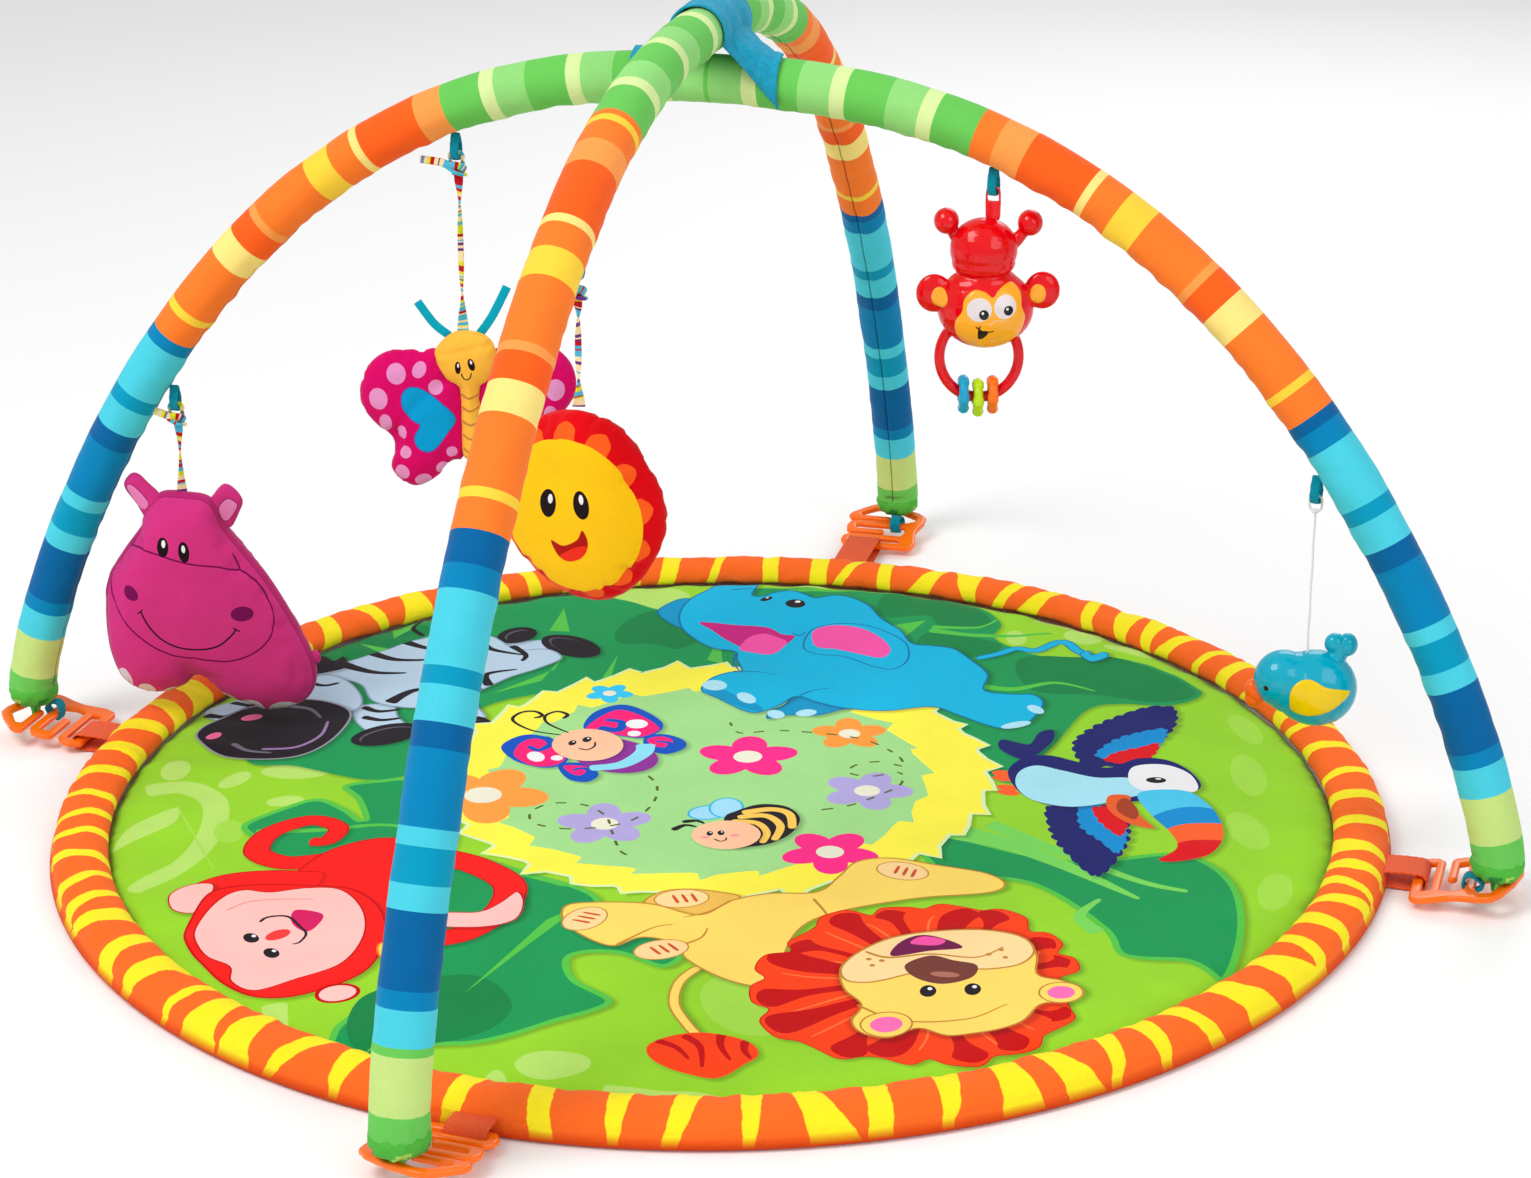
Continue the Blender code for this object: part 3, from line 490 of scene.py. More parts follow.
def foliage():
    """Printed leaves, sprigs and grass around the mat."""
    jungle = [(-345, 200), (-335, 262), (-300, 300), (-250, 325), (-205, 345), (-188, 385), (-140, 392),
              (-95, 368),
              (-62, 345), (-40, 352), (-22, 380), (40, 392), (110, 384), (150, 378), (190, 352), (206, 312),
              (200, 282), (235, 246), (300, 240), (346, 180), (322, 152), (285, 156), (258, 142), (225, 70),
              (190, 20), (120, 140), (0, 215), (-100, 190), (-180, 150), (-200, 60), (-240, 22), (-300, 45),
              (-340, 62)]
    under_tail = [(-323, -50), (-300, -22), (-278, -8), (-257, -24), (-243, -42), (-252, -10), (-264, 12),
                  (-240, 22), (-215, 20), (-180, -40), (-190, -110), (-290, -112), (-311, -74)]
    front = [(-175, -95), (-120, -125), (-82, -150), (-66, -182), (-30, -190), (-18, -232), (-32, -254),
             (-62, -236), (-88, -240), (-84, -268), (-60, -298), (-92, -322), (-132, -346), (-168, -352),
             (-216, -371), (-223, -332), (-205, -290), (-200, -230), (-190, -150)]
    right = [(125, -40), (165, -72), (230, -104), (300, -94), (330, -134), (330, -200), (311, -266),
             (288, -246),
             (250, -238), (240, -200), (200, -140), (140, -118)]
    regions = [("shade", shifted(smooth(jungle), 1.5, -3)), (LEAF, smooth(jungle))]
    for leaf in (under_tail, front, right):
        regions += [("shade", shifted(smooth(leaf), 2.5, -2.5)), (SPRIG, smooth(leaf)),
                    (LEAF, inset(smooth(leaf), 4.5))]
    darker = [[(-330, 262), (-300, 300), (-262, 318), (-235, 300), (-262, 262), (-285, 235)],
              [(-92, 300), (-78, 330), (-55, 345), (-48, 310), (-30, 280), (-44, 262), (-62, 272),
               (-88, 274)],
              [(118, 376), (150, 374), (188, 346), (200, 312), (186, 304), (158, 310), (150, 330),
               (112, 330)],
              [(150, 296), (188, 282), (204, 270), (196, 252), (172, 246), (140, 262)],
              [(215, 240), (262, 246), (300, 238), (342, 180), (318, 158), (270, 172), (222, 182)],
              [(-210, -290), (-150, -262), (-120, -300), (-140, -338), (-205, -352)]]
    regions += [(DEEP, smooth(d)) for d in darker]
    sprigs = [[(-136, 346), (-144, 300), (-128, 298)], [(-288, 277), (-262, 262), (-256, 240), (-276, 262)],
              [(-268, 318), (-262, 282), (-246, 316)], [(-126, 262), (-134, 222), (-176, 176), (-142, 200)],
              [(-88, 250), (-100, 190), (-92, 190)], [(115, 308), (148, 320), (128, 280)],
              [(-12, 290), (-20, 240), (-8, 232)], [(-262, 150), (-275, 140), (-266, 130), (-250, 142)],
              [(-150, -286), (-108, -190), (-84, -164), (-118, -226)],
              [(-205, -366), (-180, -300), (-188, -330)]]
    regions += [(SPRIG, s) for s in sprigs]
    regions += [(SPRIG, stroke(line, *widths)) for line, widths in (
        ([(40, 384), (110, 388), (160, 372)], (9, 2)), ([(152, 306), (188, 306), (204, 322)], (7, 2)),
        ([(150, 300), (190, 288), (244, 292)], (9, 3)),
                                                                    ([(182, 190), (208, 184), (240, 196),
                                                                      (268, 180)], (9, 2)),
        ([(-312, -60), (-270, -58), (-230, -50), (-200, -58)], (7, 3)),
                                                                    ([(-160, -118), (-130, -124),
                                                                      (-100, -142)],
                                                                         (9, 3)))]
    regions += [(rgb(120, 214, 92), stroke(line, *widths)) for line, widths in (
        ([(150, -58), (200, -88), (268, -160)], (24, 3)), ([(178, -48), (262, -128), (300, -150)], (13, 4)),
        ([(243, -160), (228, -184), (238, -206)], (3, 12)))]
    pale = [stroke([(-398, 4), (-372, 10), (-348, -14), (-342, -62), (-352, -112), (-378, -146)], 20, 14),
            smooth([(-402, -84), (-396, -50), (-372, -24), (-371, -50)]), oval(-384, 38, 10, 16),
            oval(-340, 22, 8, 15, -30), oval(-300, -12, 13, 8, 15), oval(-300, 36, 24, 12),
            oval(60, 396, 12, 9),
            oval(268, 288, 15, 17), oval(300, 262, 20, 9, -30), oval(216, 284, 8, 16),
            stroke([(28, 412), (70, 418), (115, 400), (150, 388)], 10, 4),
            smooth([(-96, 372), (-66, 398), (-38, 372), (-60, 340), (-84, 350)]),
            stroke([(235, 330), (300, 280), (345, 250)], 14, 6), oval(-90, -372, 22, 16),
            oval(-122, -400, 8, 22),
            stroke([(-262, -300), (-250, -345), (-226, -378)], 16, 8),
            stroke([(-60, -400), (20, -410), (80, -404)],
                                                                             12, 5),
            oval(20, -300, 26, 40, 20), oval(350, -60, 13, 30, 8), oval(362, 30, 12, 34),
            oval(356, -150, 11, 26, -14),
            stroke([(-372, -20), (-330, -118)], 1.5, 1), oval(370, 110, 10, 26, 12),
            oval(-330, -60, 10, 18, 10)]
    return [(PALE, p) for p in pale[:17]] + [(rgb(164, 220, 74), p) for p in pale[17:]] + regions


def nest():
    """Printed straw ring with the flowers in it."""
    outer, inner = ragged(-6, 36, 184, 187, 33, 13, 3), ragged(-12, 28, 147, 151, 23, 9, 8)
    regions = [("shade", shifted(outer, 4, -5)), (STRAW_EDGE, inset(outer, -3)), (STRAW, outer),
               (MINT, inner)]
    regions += flower(-90, 175, 17, rgb(48, 202, 250), 60) + flower(14, 61, 34, HOT, 15)
    regions += flower(86, 101, 26, rgb(255, 156, 62), 20) + flower(97, 4, 30, rgb(178, 168, 224), 70)
    regions += flower(71, -92, 31, HOT, 55) + flower(-80, -48, 31, rgb(178, 168, 224), 95)
    regions += flower(-166, -3, 43, rgb(255, 160, 66), 65)
    regions += trail([(0, 122), (8, 103), (38, 107), (92, 93), (118, 66), (122, 46), (108, 53), (90, 47),
                      (85, 34),
                      (100, 28), (120, 34), (120, 14), (104, -4), (84, -20), (56, -30)])
    regions += trail([(-62, 42), (-48, 14), (-50, -18), (-66, -46), (-100, -56), (-126, -48), (-131, -30),
                      (-118, -16), (-96, -18), (-80, -36), (-74, -62), (-66, -92), (-52, -101)])
    return regions


def nest_butterfly():
    """Printed butterfly in the nest."""
    wings = [[(-105, 112), (-99, 140), (-80, 154), (-62, 142), (-49, 122), (-50, 106), (-64, 94),
              (-92, 104)],
             [(-161, 78), (-152, 96), (-139, 100), (-122, 88), (-112, 60), (-118, 45), (-132, 43),
              (-150, 55)],
             [(-60, 96), (-46, 101), (-32, 90), (-31, 76), (-44, 66), (-58, 76)],
             [(-118, 48), (-110, 24), (-96, 19), (-89, 32), (-100, 50)]]
    cores = [[(-103, 108), (-96, 128), (-82, 144), (-66, 135), (-52, 116), (-52, 106), (-66, 96),
              (-90, 104)],
             [(-151, 66), (-148, 84), (-139, 93), (-125, 84), (-114, 62), (-120, 47), (-134, 45),
              (-145, 54)],
             [(-58, 92), (-48, 97), (-40, 90), (-42, 80), (-52, 78)],
             [(-114, 46), (-109, 34), (-101, 30), (-98, 44)]]
    curls = [stroke([(-94, 112), (-80, 108), (-78, 122), (-90, 126)], 9, 5),
             stroke([(-132, 96), (-126, 84), (-134, 72), (-142, 80)], 7, 4),
             stroke([(-56, 78), (-44, 76), (-42, 86), (-52, 88)], 5, 3),
             stroke([(-104, 26), (-94, 32), (-100, 42), (-108, 38)], 5, 3)]
    regions = []
    for wing, core, curl in zip(wings, cores, curls):
        regions += [("shade", shifted(smooth(wing), 2.5, -2.5)), (ROYAL, smooth(wing)), (rgb(255, 24, 118),
                                                                                      smooth(core)), (ROYAL, curl)]
    regions += [(SNOW, oval(-67, 119, 8, 8)), (SNOW, oval(-68, 102, 5, 5)),
                (SNOW, oval(-135, 61, 6, 9, 20)),
                (SNOW, oval(-120, 59, 4.5, 4.5))]
    regions += [("shade", shifted(oval(-80, 64, 35, 26, -42), 2.5, -2.5)),
                (VIOLET, oval(-80, 64, 35, 26, -42)),
                (rgb(140, 222, 242), stroke([(-59, 84), (-60, 68), (-74, 48), (-96, 42)], 14, 9)),
                ("shade", shifted(oval(-100, 82, 25, 28, 20), 1.5, -1.5)),
                (SKIN, oval(-100, 82, 25, 28, 20)),
                (INK, stroke([(-106, 76), (-100, 73), (-95, 79), (-95, 87)], 1.8, 1.4)),
                (INK, stroke([(-120, 99), (-142, 108), (-157, 126), (-152, 140), (-142, 142), (-136, 134),
                              (-142, 130)], 1.6, 3.4)),
                (INK, stroke([(-115, 103), (-131, 120), (-134, 134), (-126, 142), (-118, 136), (-121, 129)],
                             1.6, 3.4))]
    return regions + eye(-111, 85, 2.8, 4.6, -10) + eye(-101, 91, 3.2, 4.8, -10)


def nest_bee():
    """Printed bee in the nest."""
    body = smooth([(0, -40), (8, -28), (24, -18), (42, -22), (51, -40), (46, -62), (34, -77), (20, -83),
                   (4, -82)])
    regions = [(AQUA, oval(-11, -30, 14.5, 11.5, 20)), (rgb(162, 222, 250), oval(-11, -30, 13, 10, 20)),
               (AQUA, oval(1, -23, 12, 16)), (rgb(162, 222, 250), oval(1, -23, 10.6, 14.6)),
               ("shade", shifted(body, 2.5, -2.5)), (INK, body)]
    for line, width in (([(12, -31), (32, -26), (44, -34), (46, -56)], 7), ([(9, -38), (28, -36), (38, -52),
                                                                           (34, -74)], 6.5),
                        ([(5, -44), (22, -47), (29, -62), (26, -78)], 6)):
        regions.append((rgb(255, 206, 92), stroke(line, width, width * 0.8)))
    regions += [("shade", shifted(oval(2, -65, 23, 22), 1.5, -1.5)), (SKIN, oval(2, -65, 23, 22)),
                (rgb(255, 150, 170), oval(-12, -69, 3.2, 2)), (rgb(255, 150, 170), oval(8, -66, 3.2, 2)),
                (INK, stroke([(-6, -71), (-2, -75), (2, -73), (2, -69)], 1.5, 1.2)),
                (INK, stroke([(-13, -48), (-18, -43), (-28, -45)], 2, 6)),
                (INK, stroke([(-18, -53), (-26, -50),
                                                                                      (-34, -58)], 2, 6))]
    return regions + eye(-9, -63, 2.2, 3.6) + eye(-1.5, -62, 2.4, 3.8)


def elephant():
    """Printed elephant."""
    far_ear = smooth([(-30, 360), (-46, 366), (-62, 344), (-56, 322), (-36, 300), (-20, 320)])
    far_foot = smooth([(50, 170), (38, 152), (28, 142), (27, 128), (42, 134), (62, 133), (78, 142),
                       (84, 150)])
    body = smooth([(-15, 418), (0, 421), (14, 415), (16, 398), (12, 376), (20, 373), (30, 383), (43, 386),
                   (54, 376),
                   (62, 369), (76, 377), (90, 371), (104, 354), (113, 326), (128, 300), (136, 274),
                   (152, 269),
                   (168, 262), (180, 240), (191, 212), (187, 182), (206, 175), (222, 174), (229, 160),
                   (224, 140),
                   (214, 120), (198, 111), (184, 118), (164, 136), (146, 150), (112, 142), (82, 147),
                   (62, 158),
                   (48, 168), (35, 151), (20, 139), (8, 144), (-10, 165), (-23, 181), (-16, 204), (-2, 216),
                   (6, 217),
                   (2, 240), (0, 257), (-16, 263), (-30, 280), (-42, 305), (-45, 335), (-38, 365),
                   (-22, 394)])
    ear = smooth([(58, 300), (76, 314), (98, 312), (118, 296), (132, 272), (132, 240), (120, 222),
                  (104, 228),
                  (84, 246), (62, 252), (52, 266)])
    regions = animal(far_ear, AQUA_DARK, AQUA_LINE) + animal(far_foot, AQUA_DARK, AQUA_LINE)
    regions += [("shade", stroke([(186, 241), (203, 250), (217, 260), (232, 256), (250, 274), (262, 258),
                                  (276, 240)],
                                 9, 8)), (AQUA_LINE, stroke([(184, 243), (201, 252), (215, 262), (230, 258),
                                                             (250, 275), (262, 258), (274, 243)], 8, 10)),
                (AQUA, stroke([(184, 243), (201, 252), (215, 262), (230, 258), (250, 275), (262, 258),
                               (274, 243)],
                              5.6, 7.6))]
    regions += animal(smooth([(262, 252), (270, 236), (284, 246), (281, 256), (272, 250), (270, 260)]),
                      AQUA,
                      AQUA_LINE, 1.0)
    regions += animal(body, AQUA, AQUA_LINE)
    regions += [(AQUA_DARK, smooth([(-20, 180), (-10, 184), (6, 168), (22, 150), (22, 141), (10, 146),
                                    (-8, 165)])),
                (AQUA_LINE, stroke([(50, 170), (60, 180), (76, 186)], 2, 0.6)),
                (AQUA_LINE, stroke([(0, 217), (18, 216), (34, 210)], 2, 0.6)),
                (AQUA_LINE, stroke([(2, 256), (0, 236), (6, 214)], 2, 1)), (AQUA_LINE, ear),
                (AQUA, inset(ear, 1.4)),
                (ROSE, smooth([(60, 298), (74, 310), (94, 306), (110, 288), (119, 262), (112, 245),
                               (96, 252),
                               (78, 262), (62, 268)])),
                (CERISE, smooth([(-28, 317), (0, 311), (24, 306), (36, 292), (46, 288), (38, 268),
                                 (28, 251),
                                 (12, 258), (-6, 280), (-18, 300)])),
                (ROSE, smooth([(4, 262), (10, 284), (22, 293), (34, 284), (40, 276), (34, 258), (26, 251),
                               (14, 255)])),
                (AQUA_LINE, stroke([(44, 294), (50, 289), (54, 297)], 1.8, 1.2))]
    regions += [(AQUA_LINE, stroke([(a, b), (12, b + 3)], 2, 1.5)) for a,
                b in ((0, 411), (-3, 400), (-5, 387))]
    toes = ((-13, 190, 9, 10), (11, 166, 6, 11), (33, 136, 6, 8), (55, 138, 8, 6), (206, 118, 12, 5),
            (222, 146, 5, 9))
    regions += [(TOE, oval(*toe, 25)) for toe in toes]
    return regions + eye(46, 357, 7.5, 9.5, 25) + eye(23, 367, 3.2, 6.5, -40)


def toucan():
    """Printed toucan."""
    upper = feathered([(250, 48), (246, 84), (262, 112), (284, 134), (304, 148), (322, 145), (318, 112),
                       (300, 80),
                       (290, 56), (268, 46)], 11, 3)
    lower = feathered([(222, -20), (219, -52), (226, -88), (243, -126), (262, -92), (270, -52), (260, -22)],
                      11, 3)
    body = smooth([(196, 40), (208, 60), (226, 64), (246, 52), (266, 42), (288, 58), (308, 55), (322, 36),
                   (326, 8),
                   (300, -8), (262, -16), (230, -22), (208, -8), (198, 14)])
    regions = animal(smooth([(205, 58), (192, 76), (194, 92), (206, 86), (214, 84), (222, 104), (232, 108),
                             (230, 88), (214, 60)]), NAVY, NAVY)
    regions += [(FLAME, oval(192, 34, 8, 5, -20)), (FLAME, oval(192, 26, 8, 5, -20)),
                (FLAME, oval(194, 10, 8, 5, -20)),
                (FLAME, oval(194, 2, 8, 5, -20))]
    for wing in (upper, lower):
        regions += [("shade", shifted(wing, 3, -3)), (NAVY, wing)]
    regions += [(BEAK_BLUE, feathered([(260, 62), (274, 88), (296, 104), (312, 108), (306, 84), (288, 60)],
                                      9, 2.5)),
                (CRIMSON, feathered([(266, 54), (272, 66), (290, 76), (304, 84), (300, 66), (286, 50)], 8,
                                    2)),
                (BEAK_BLUE, feathered([(242, -22), (240, -50), (250, -72), (260, -92), (268, -60),
                                       (258, -24)], 9, 2.5)),
                (CRIMSON, feathered([(250, -24), (254, -46), (264, -66), (270, -44), (262, -24)], 8, 2))]
    regions += [("shade", shifted(body, 3, -3)), (NAVY, body),
                (BELLY, smooth([(200, 12), (203, 36), (216, 47), (234, 38), (256, 26), (280, 24), (290, 4),
                                (262, -14),
                                (234, -21), (210, -10)])),
                (SNOW, smooth([(278, 22), (284, 44), (306, 47), (322, 30), (323, 4), (300, 0), (284, 6)]))]
    lower_beak = smooth([(262, -4), (260, -26), (272, -48), (288, -56), (282, -40), (276, -18), (276, -4)])
    beak = smooth([(282, -2), (300, 6), (320, 0), (332, -30), (333, -66), (322, -94), (300, -106),
                   (286, -104),
                   (300, -86), (298, -62), (288, -34)])
    regions += [("shade", shifted(lower_beak, 2, -2)), (rgb(236, 96, 40), lower_beak),
                (rgb(168, 62, 30), smooth([(268, -12), (266, -28), (276, -42), (280, -28), (274, -8)])),
                ("shade", shifted(beak, 3, -2)), (rgb(74, 200, 240), beak),
                (BEAK_BLUE, smooth([(290, -36), (312, -22), (332, -26), (340, -48), (340, -100),
                                    (290, -100),
                                    (280, -60)])),
                (FLAME, smooth([(298, -56), (316, -48), (340, -52), (345, -80), (330, -108), (290, -108),
                                (285, -80)])),
                (CRIMSON, smooth([(300, -80), (318, -74), (342, -80), (340, -108), (300, -112),
                                  (280, -104)]))]
    regions[-3:] = [(colour, loop, beak) for colour, loop in regions[-3:]]
    return regions + eye(297, 21, 7, 4.8)


def lion():
    """Printed lion."""
    body = smooth([(-96, -168), (-66, -164), (-40, -168), (-12, -182), (8, -162), (32, -152), (62, -150),
                   (76, -128),
                   (88, -106), (110, -100), (140, -110), (172, -122), (184, -138), (172, -152), (120, -162),
                   (60, -190), (42, -240), (44, -278), (20, -276), (-2, -262), (-20, -240), (-22, -224),
                   (-46, -214),
                   (-64, -226), (-84, -212), (-98, -190)])
    far_paw = smooth([(-48, -168), (-38, -150), (-20, -146), (0, -150), (14, -158), (0, -176), (-20, -184)])
    head = smooth([(76, -256), (86, -236), (105, -216), (132, -206), (166, -203), (190, -212), (198, -236),
                   (197, -262), (212, -270), (222, -284), (212, -298), (196, -300), (180, -325),
                   (142, -338),
                   (122, -330), (104, -340), (88, -335), (82, -320), (88, -300), (78, -280)])
    centre = Vector((132, -268))
    reach = [(-10, 84), (12, 92), (34, 96), (58, 104), (80, 100), (102, 98), (124, 106), (146, 100),
             (168, 108),
             (190, 112), (212, 118), (234, 112), (256, 104), (278, 106), (300, 102), (324, 96)]
    def aimed(angle, length):
        return centre + Vector((math.cos(math.radians(angle)), math.sin(math.radians(angle)))) * length

    mane = smooth([point for angle, length in reach for point in
                   (aimed(angle - 5, length - 2), aimed(angle + 5, length), aimed(angle + 11, length - 7))])
    regions = [("shade", stroke([(-8, -255), (-19, -272), (-21, -300), (-12, -326), (-6, -340)], 9, 9))]
    regions += [(FUR_LINE, stroke([(-10, -253), (-21, -272), (-23, -300), (-14, -326), (-8, -338)], 7.5,
                                  7.5)),
                (FUR, stroke([(-10, -253), (-21, -272), (-23, -300), (-14, -326), (-8, -338)], 5.2, 5.2))]
    tuft = smooth([(-37, -352), (-26, -340), (-10, -335), (10, -338), (24, -348), (28, -362), (20, -372),
                   (0, -388),
                   (-30, -370)])
    regions += [("shade", shifted(tuft, 2.5, -2.5)), (MANE, tuft)]
    regions += [(MANE_DARK, stroke(slit, 6, 2), tuft) for slit in (
        [(-32, -344), (-20, -352), (-12, -366)], [(-16, -338), (-6, -352), (-4, -376)],
        [(6, -336), (6, -350), (12, -366)], [(20, -344), (20, -356), (24, -366)])]
    regions += animal(far_paw, rgb(238, 190, 84), FUR_LINE) + animal(body, FUR, FUR_LINE)
    regions += [(FUR_LINE, stroke(line, 2.2, 1)) for line in (
        [(-62, -224), (-40, -200), (-28, -196)], [(8, -162), (-6, -178), (-22, -186)],
                                                              [(60, -160), (70, -190),
                                                                                       (62, -214)],
        [(-22, -224), (-10, -214), (-6, -200)])]
    for x, y, turn in ((-84, -188, 60), (-34, -230, 25), (118, -120, -25), (-24, -160, 10)):
        paw = oval(x, y, 17, 12, turn)
        regions += [(FUR_LINE, inset(paw, -1)), (rgb(255, 216, 152), paw)]
        slant = Vector((math.cos(math.radians(turn)), math.sin(math.radians(turn))))
        for k in (-5, 1, 7):
            middle = Vector((x, y)) + slant * k
            side = Vector((-slant.y, slant.x)) * 6
            regions.append((rgb(206, 78, 40), stroke([middle - side + slant * 2, middle + side], 2.6, 2.0)))
    regions += [("shade", shifted(mane, 3, -3)), (MANE_DARK, inset(mane, -0.8)), (MANE, mane)]
    for i, (angle, length) in enumerate(reach):
        lean = (-5, 4, 0, 6)[i % 4]
        wedge = [aimed(angle - 4, 40), aimed(angle - 5 + lean, 80), aimed(angle - 7 + lean, length - 9),
                 aimed(angle + lean, length - 3), aimed(angle + 6 + lean, length - 10),
                 aimed(angle + 5, 76),
                 aimed(angle + 4, 40)]
        regions.append((MANE_DARK, smooth(wedge), mane))
        regions.append((rgb(255, 116, 56), stroke([aimed(angle + 11, 52), aimed(angle + 12 + lean / 2, 74),
                                                   aimed(angle + 12 + lean, length - 16)], 2.2, 1.2), mane))
    regions += [("shade", shifted(inset(head, -3), 1.5, -1.5)), (FUR_LINE, head), (FUR, inset(head, 1.4)),
                (FUR_LINE, stroke([(86, -300), (112, -320), (150, -318), (176, -300)], 2.0, 1.0))]
    for x, y, radius in ((209, -285, 13), (103, -324, 15)):
        regions += [(FUR_LINE, inset(oval(x, y, radius, radius * 0.92, 30), -1.2)),
                    (FUR, oval(x, y, radius, radius * 0.92, 30)),
                    (rgb(250, 112, 184), oval(x, y, radius * 0.66,
                                                                                      radius * 0.6, 30))]
    muzzle = smooth([(76, -254), (86, -234), (106, -215), (132, -206), (166, -203), (190, -212),
                     (197, -232),
                     (186, -250), (162, -256), (140, -250), (118, -262), (96, -272), (80, -270)])
    regions += [(FUR_LINE, muzzle), (FUR_PALE, inset(muzzle, 1.6)),
                (rgb(112, 18, 76), smooth([(108, -238), (114, -220), (128, -211), (144, -218), (152, -228),
                                           (132, -232)])),
                (ROSE, smooth([(120, -222), (128, -213), (142, -218), (136, -225)])),
                (rgb(118, 60, 52), smooth([(116, -250), (122, -266), (138, -274), (156, -266), (160, -250),
                                           (146, -244), (132, -238)])),
                (rgb(176, 112, 96), oval(140, -262, 9, 3.5, -8)),
                (FUR_LINE, stroke([(92, -232), (106, -240), (132, -236), (160, -240), (178, -226)], 2.4,
                                  1.2))]
    regions += [(FUR_LINE, oval(x, y, 1.8, 1.8)) for x,
                y in ((168, -236), (176, -230), (178, -240), (96, -250),
                                                            (102, -244), (94, -242))]
    return regions + eye(129, -283, 5.0, 7.5, -6) + eye(156, -281, 5.0, 7.5, -6)


def ape():
    """Printed ape."""
    tail = [(-254, -102), (-284, -108), (-306, -92), (-302, -62), (-278, -43), (-258, -54), (-262, -74),
            (-274, -76)]
    back = smooth([(-272, -112), (-256, -86), (-226, -70), (-192, -80), (-180, -122), (-178, -156),
                   (-196, -184),
                   (-226, -196), (-262, -168), (-280, -140)])
    arm = [(-258, -134), (-290, -130), (-318, -134), (-334, -148)]
    hair = smooth([(-332, -180), (-326, -150), (-302, -140), (-270, -140), (-236, -146), (-214, -174),
                   (-206, -214),
                   (-212, -256), (-238, -284), (-266, -294), (-294, -276), (-316, -246), (-332, -214)])
    face = smooth([(-326, -192), (-318, -160), (-306, -148), (-288, -151), (-265, -145), (-243, -148),
                   (-226, -176),
                   (-221, -212), (-230, -248), (-254, -268), (-276, -282), (-292, -270), (-296, -252),
                   (-312, -238),
                   (-324, -216)])
    leg = [(-190, -96), (-160, -112), (-136, -140), (-138, -176), (-156, -206), (-176, -216)]
    regions = [("shade", shifted(stroke(tail, 21, 13), 2, -2.5)), (APE_LINE, stroke(tail, 21, 13)),
               (APE, stroke(tail, 18.5, 10.5)), ("shade", shifted(stroke(leg, 24, 20), 2, -2.5)),
               (APE_LINE, stroke(leg, 24, 20)), (APE, stroke(leg, 21.5, 17.5))]
    regions += animal(back, APE, APE_LINE)
    foot = smooth([(-184, -196), (-150, -200), (-128, -190), (-124, -166), (-130, -150), (-140, -166),
                   (-152, -178),
                   (-176, -180)])
    regions += animal(foot, BLUSH, APE_LINE, 1.0)
    regions += [("shade", shifted(stroke(arm, 25, 19), 1.5, -2)), (APE_LINE, stroke(arm, 25, 19)),
                (APE, stroke(arm, 22.5, 16.5))]
    regions += animal(smooth([(-326, -140), (-342, -140), (-352, -156), (-346, -176), (-332, -180),
                              (-326, -166)]),
                      BLUSH, APE_LINE, 1.0)
    regions += [("shade", shifted(hair, 2.5, -2.5)), (APE_LINE, hair), (APE, inset(hair, 1.6))]
    regions += animal(oval(-226, -286, 14, 12, 30), BLUSH, APE_LINE, 2.6)[1:]
    regions += [(APE_LINE, inset(face, -1.2)), (BLUSH, face),
                (rgb(240, 150, 150), stroke([(-312, -176), (-300, -164), (-280, -160), (-258, -160)], 1.6,
                                            1)),
                (rgb(240, 60, 60), oval(-274, -209, 9, 6, 50)),
                (rgb(214, 24, 96), smooth([(-268, -175), (-250, -181), (-252, -199), (-258, -205),
                                           (-268, -192)])),
                (INK, stroke([(-288, -192), (-284, -185), (-272, -184), (-263, -196), (-256.5, -208),
                              (-259, -220),
                              (-263, -222)], 2.4, 1.6))]
    regions += animal(smooth([(-206, -240), (-194, -232), (-184, -238), (-176, -228), (-182, -214),
                              (-196, -214),
                              (-210, -222)]), rgb(255, 214, 76), rgb(240, 120, 40), 1.4)
    return regions + eye(-290, -213, 4.6, 6.8, 30) + eye(-274, -234, 4.6, 6.8, 30)


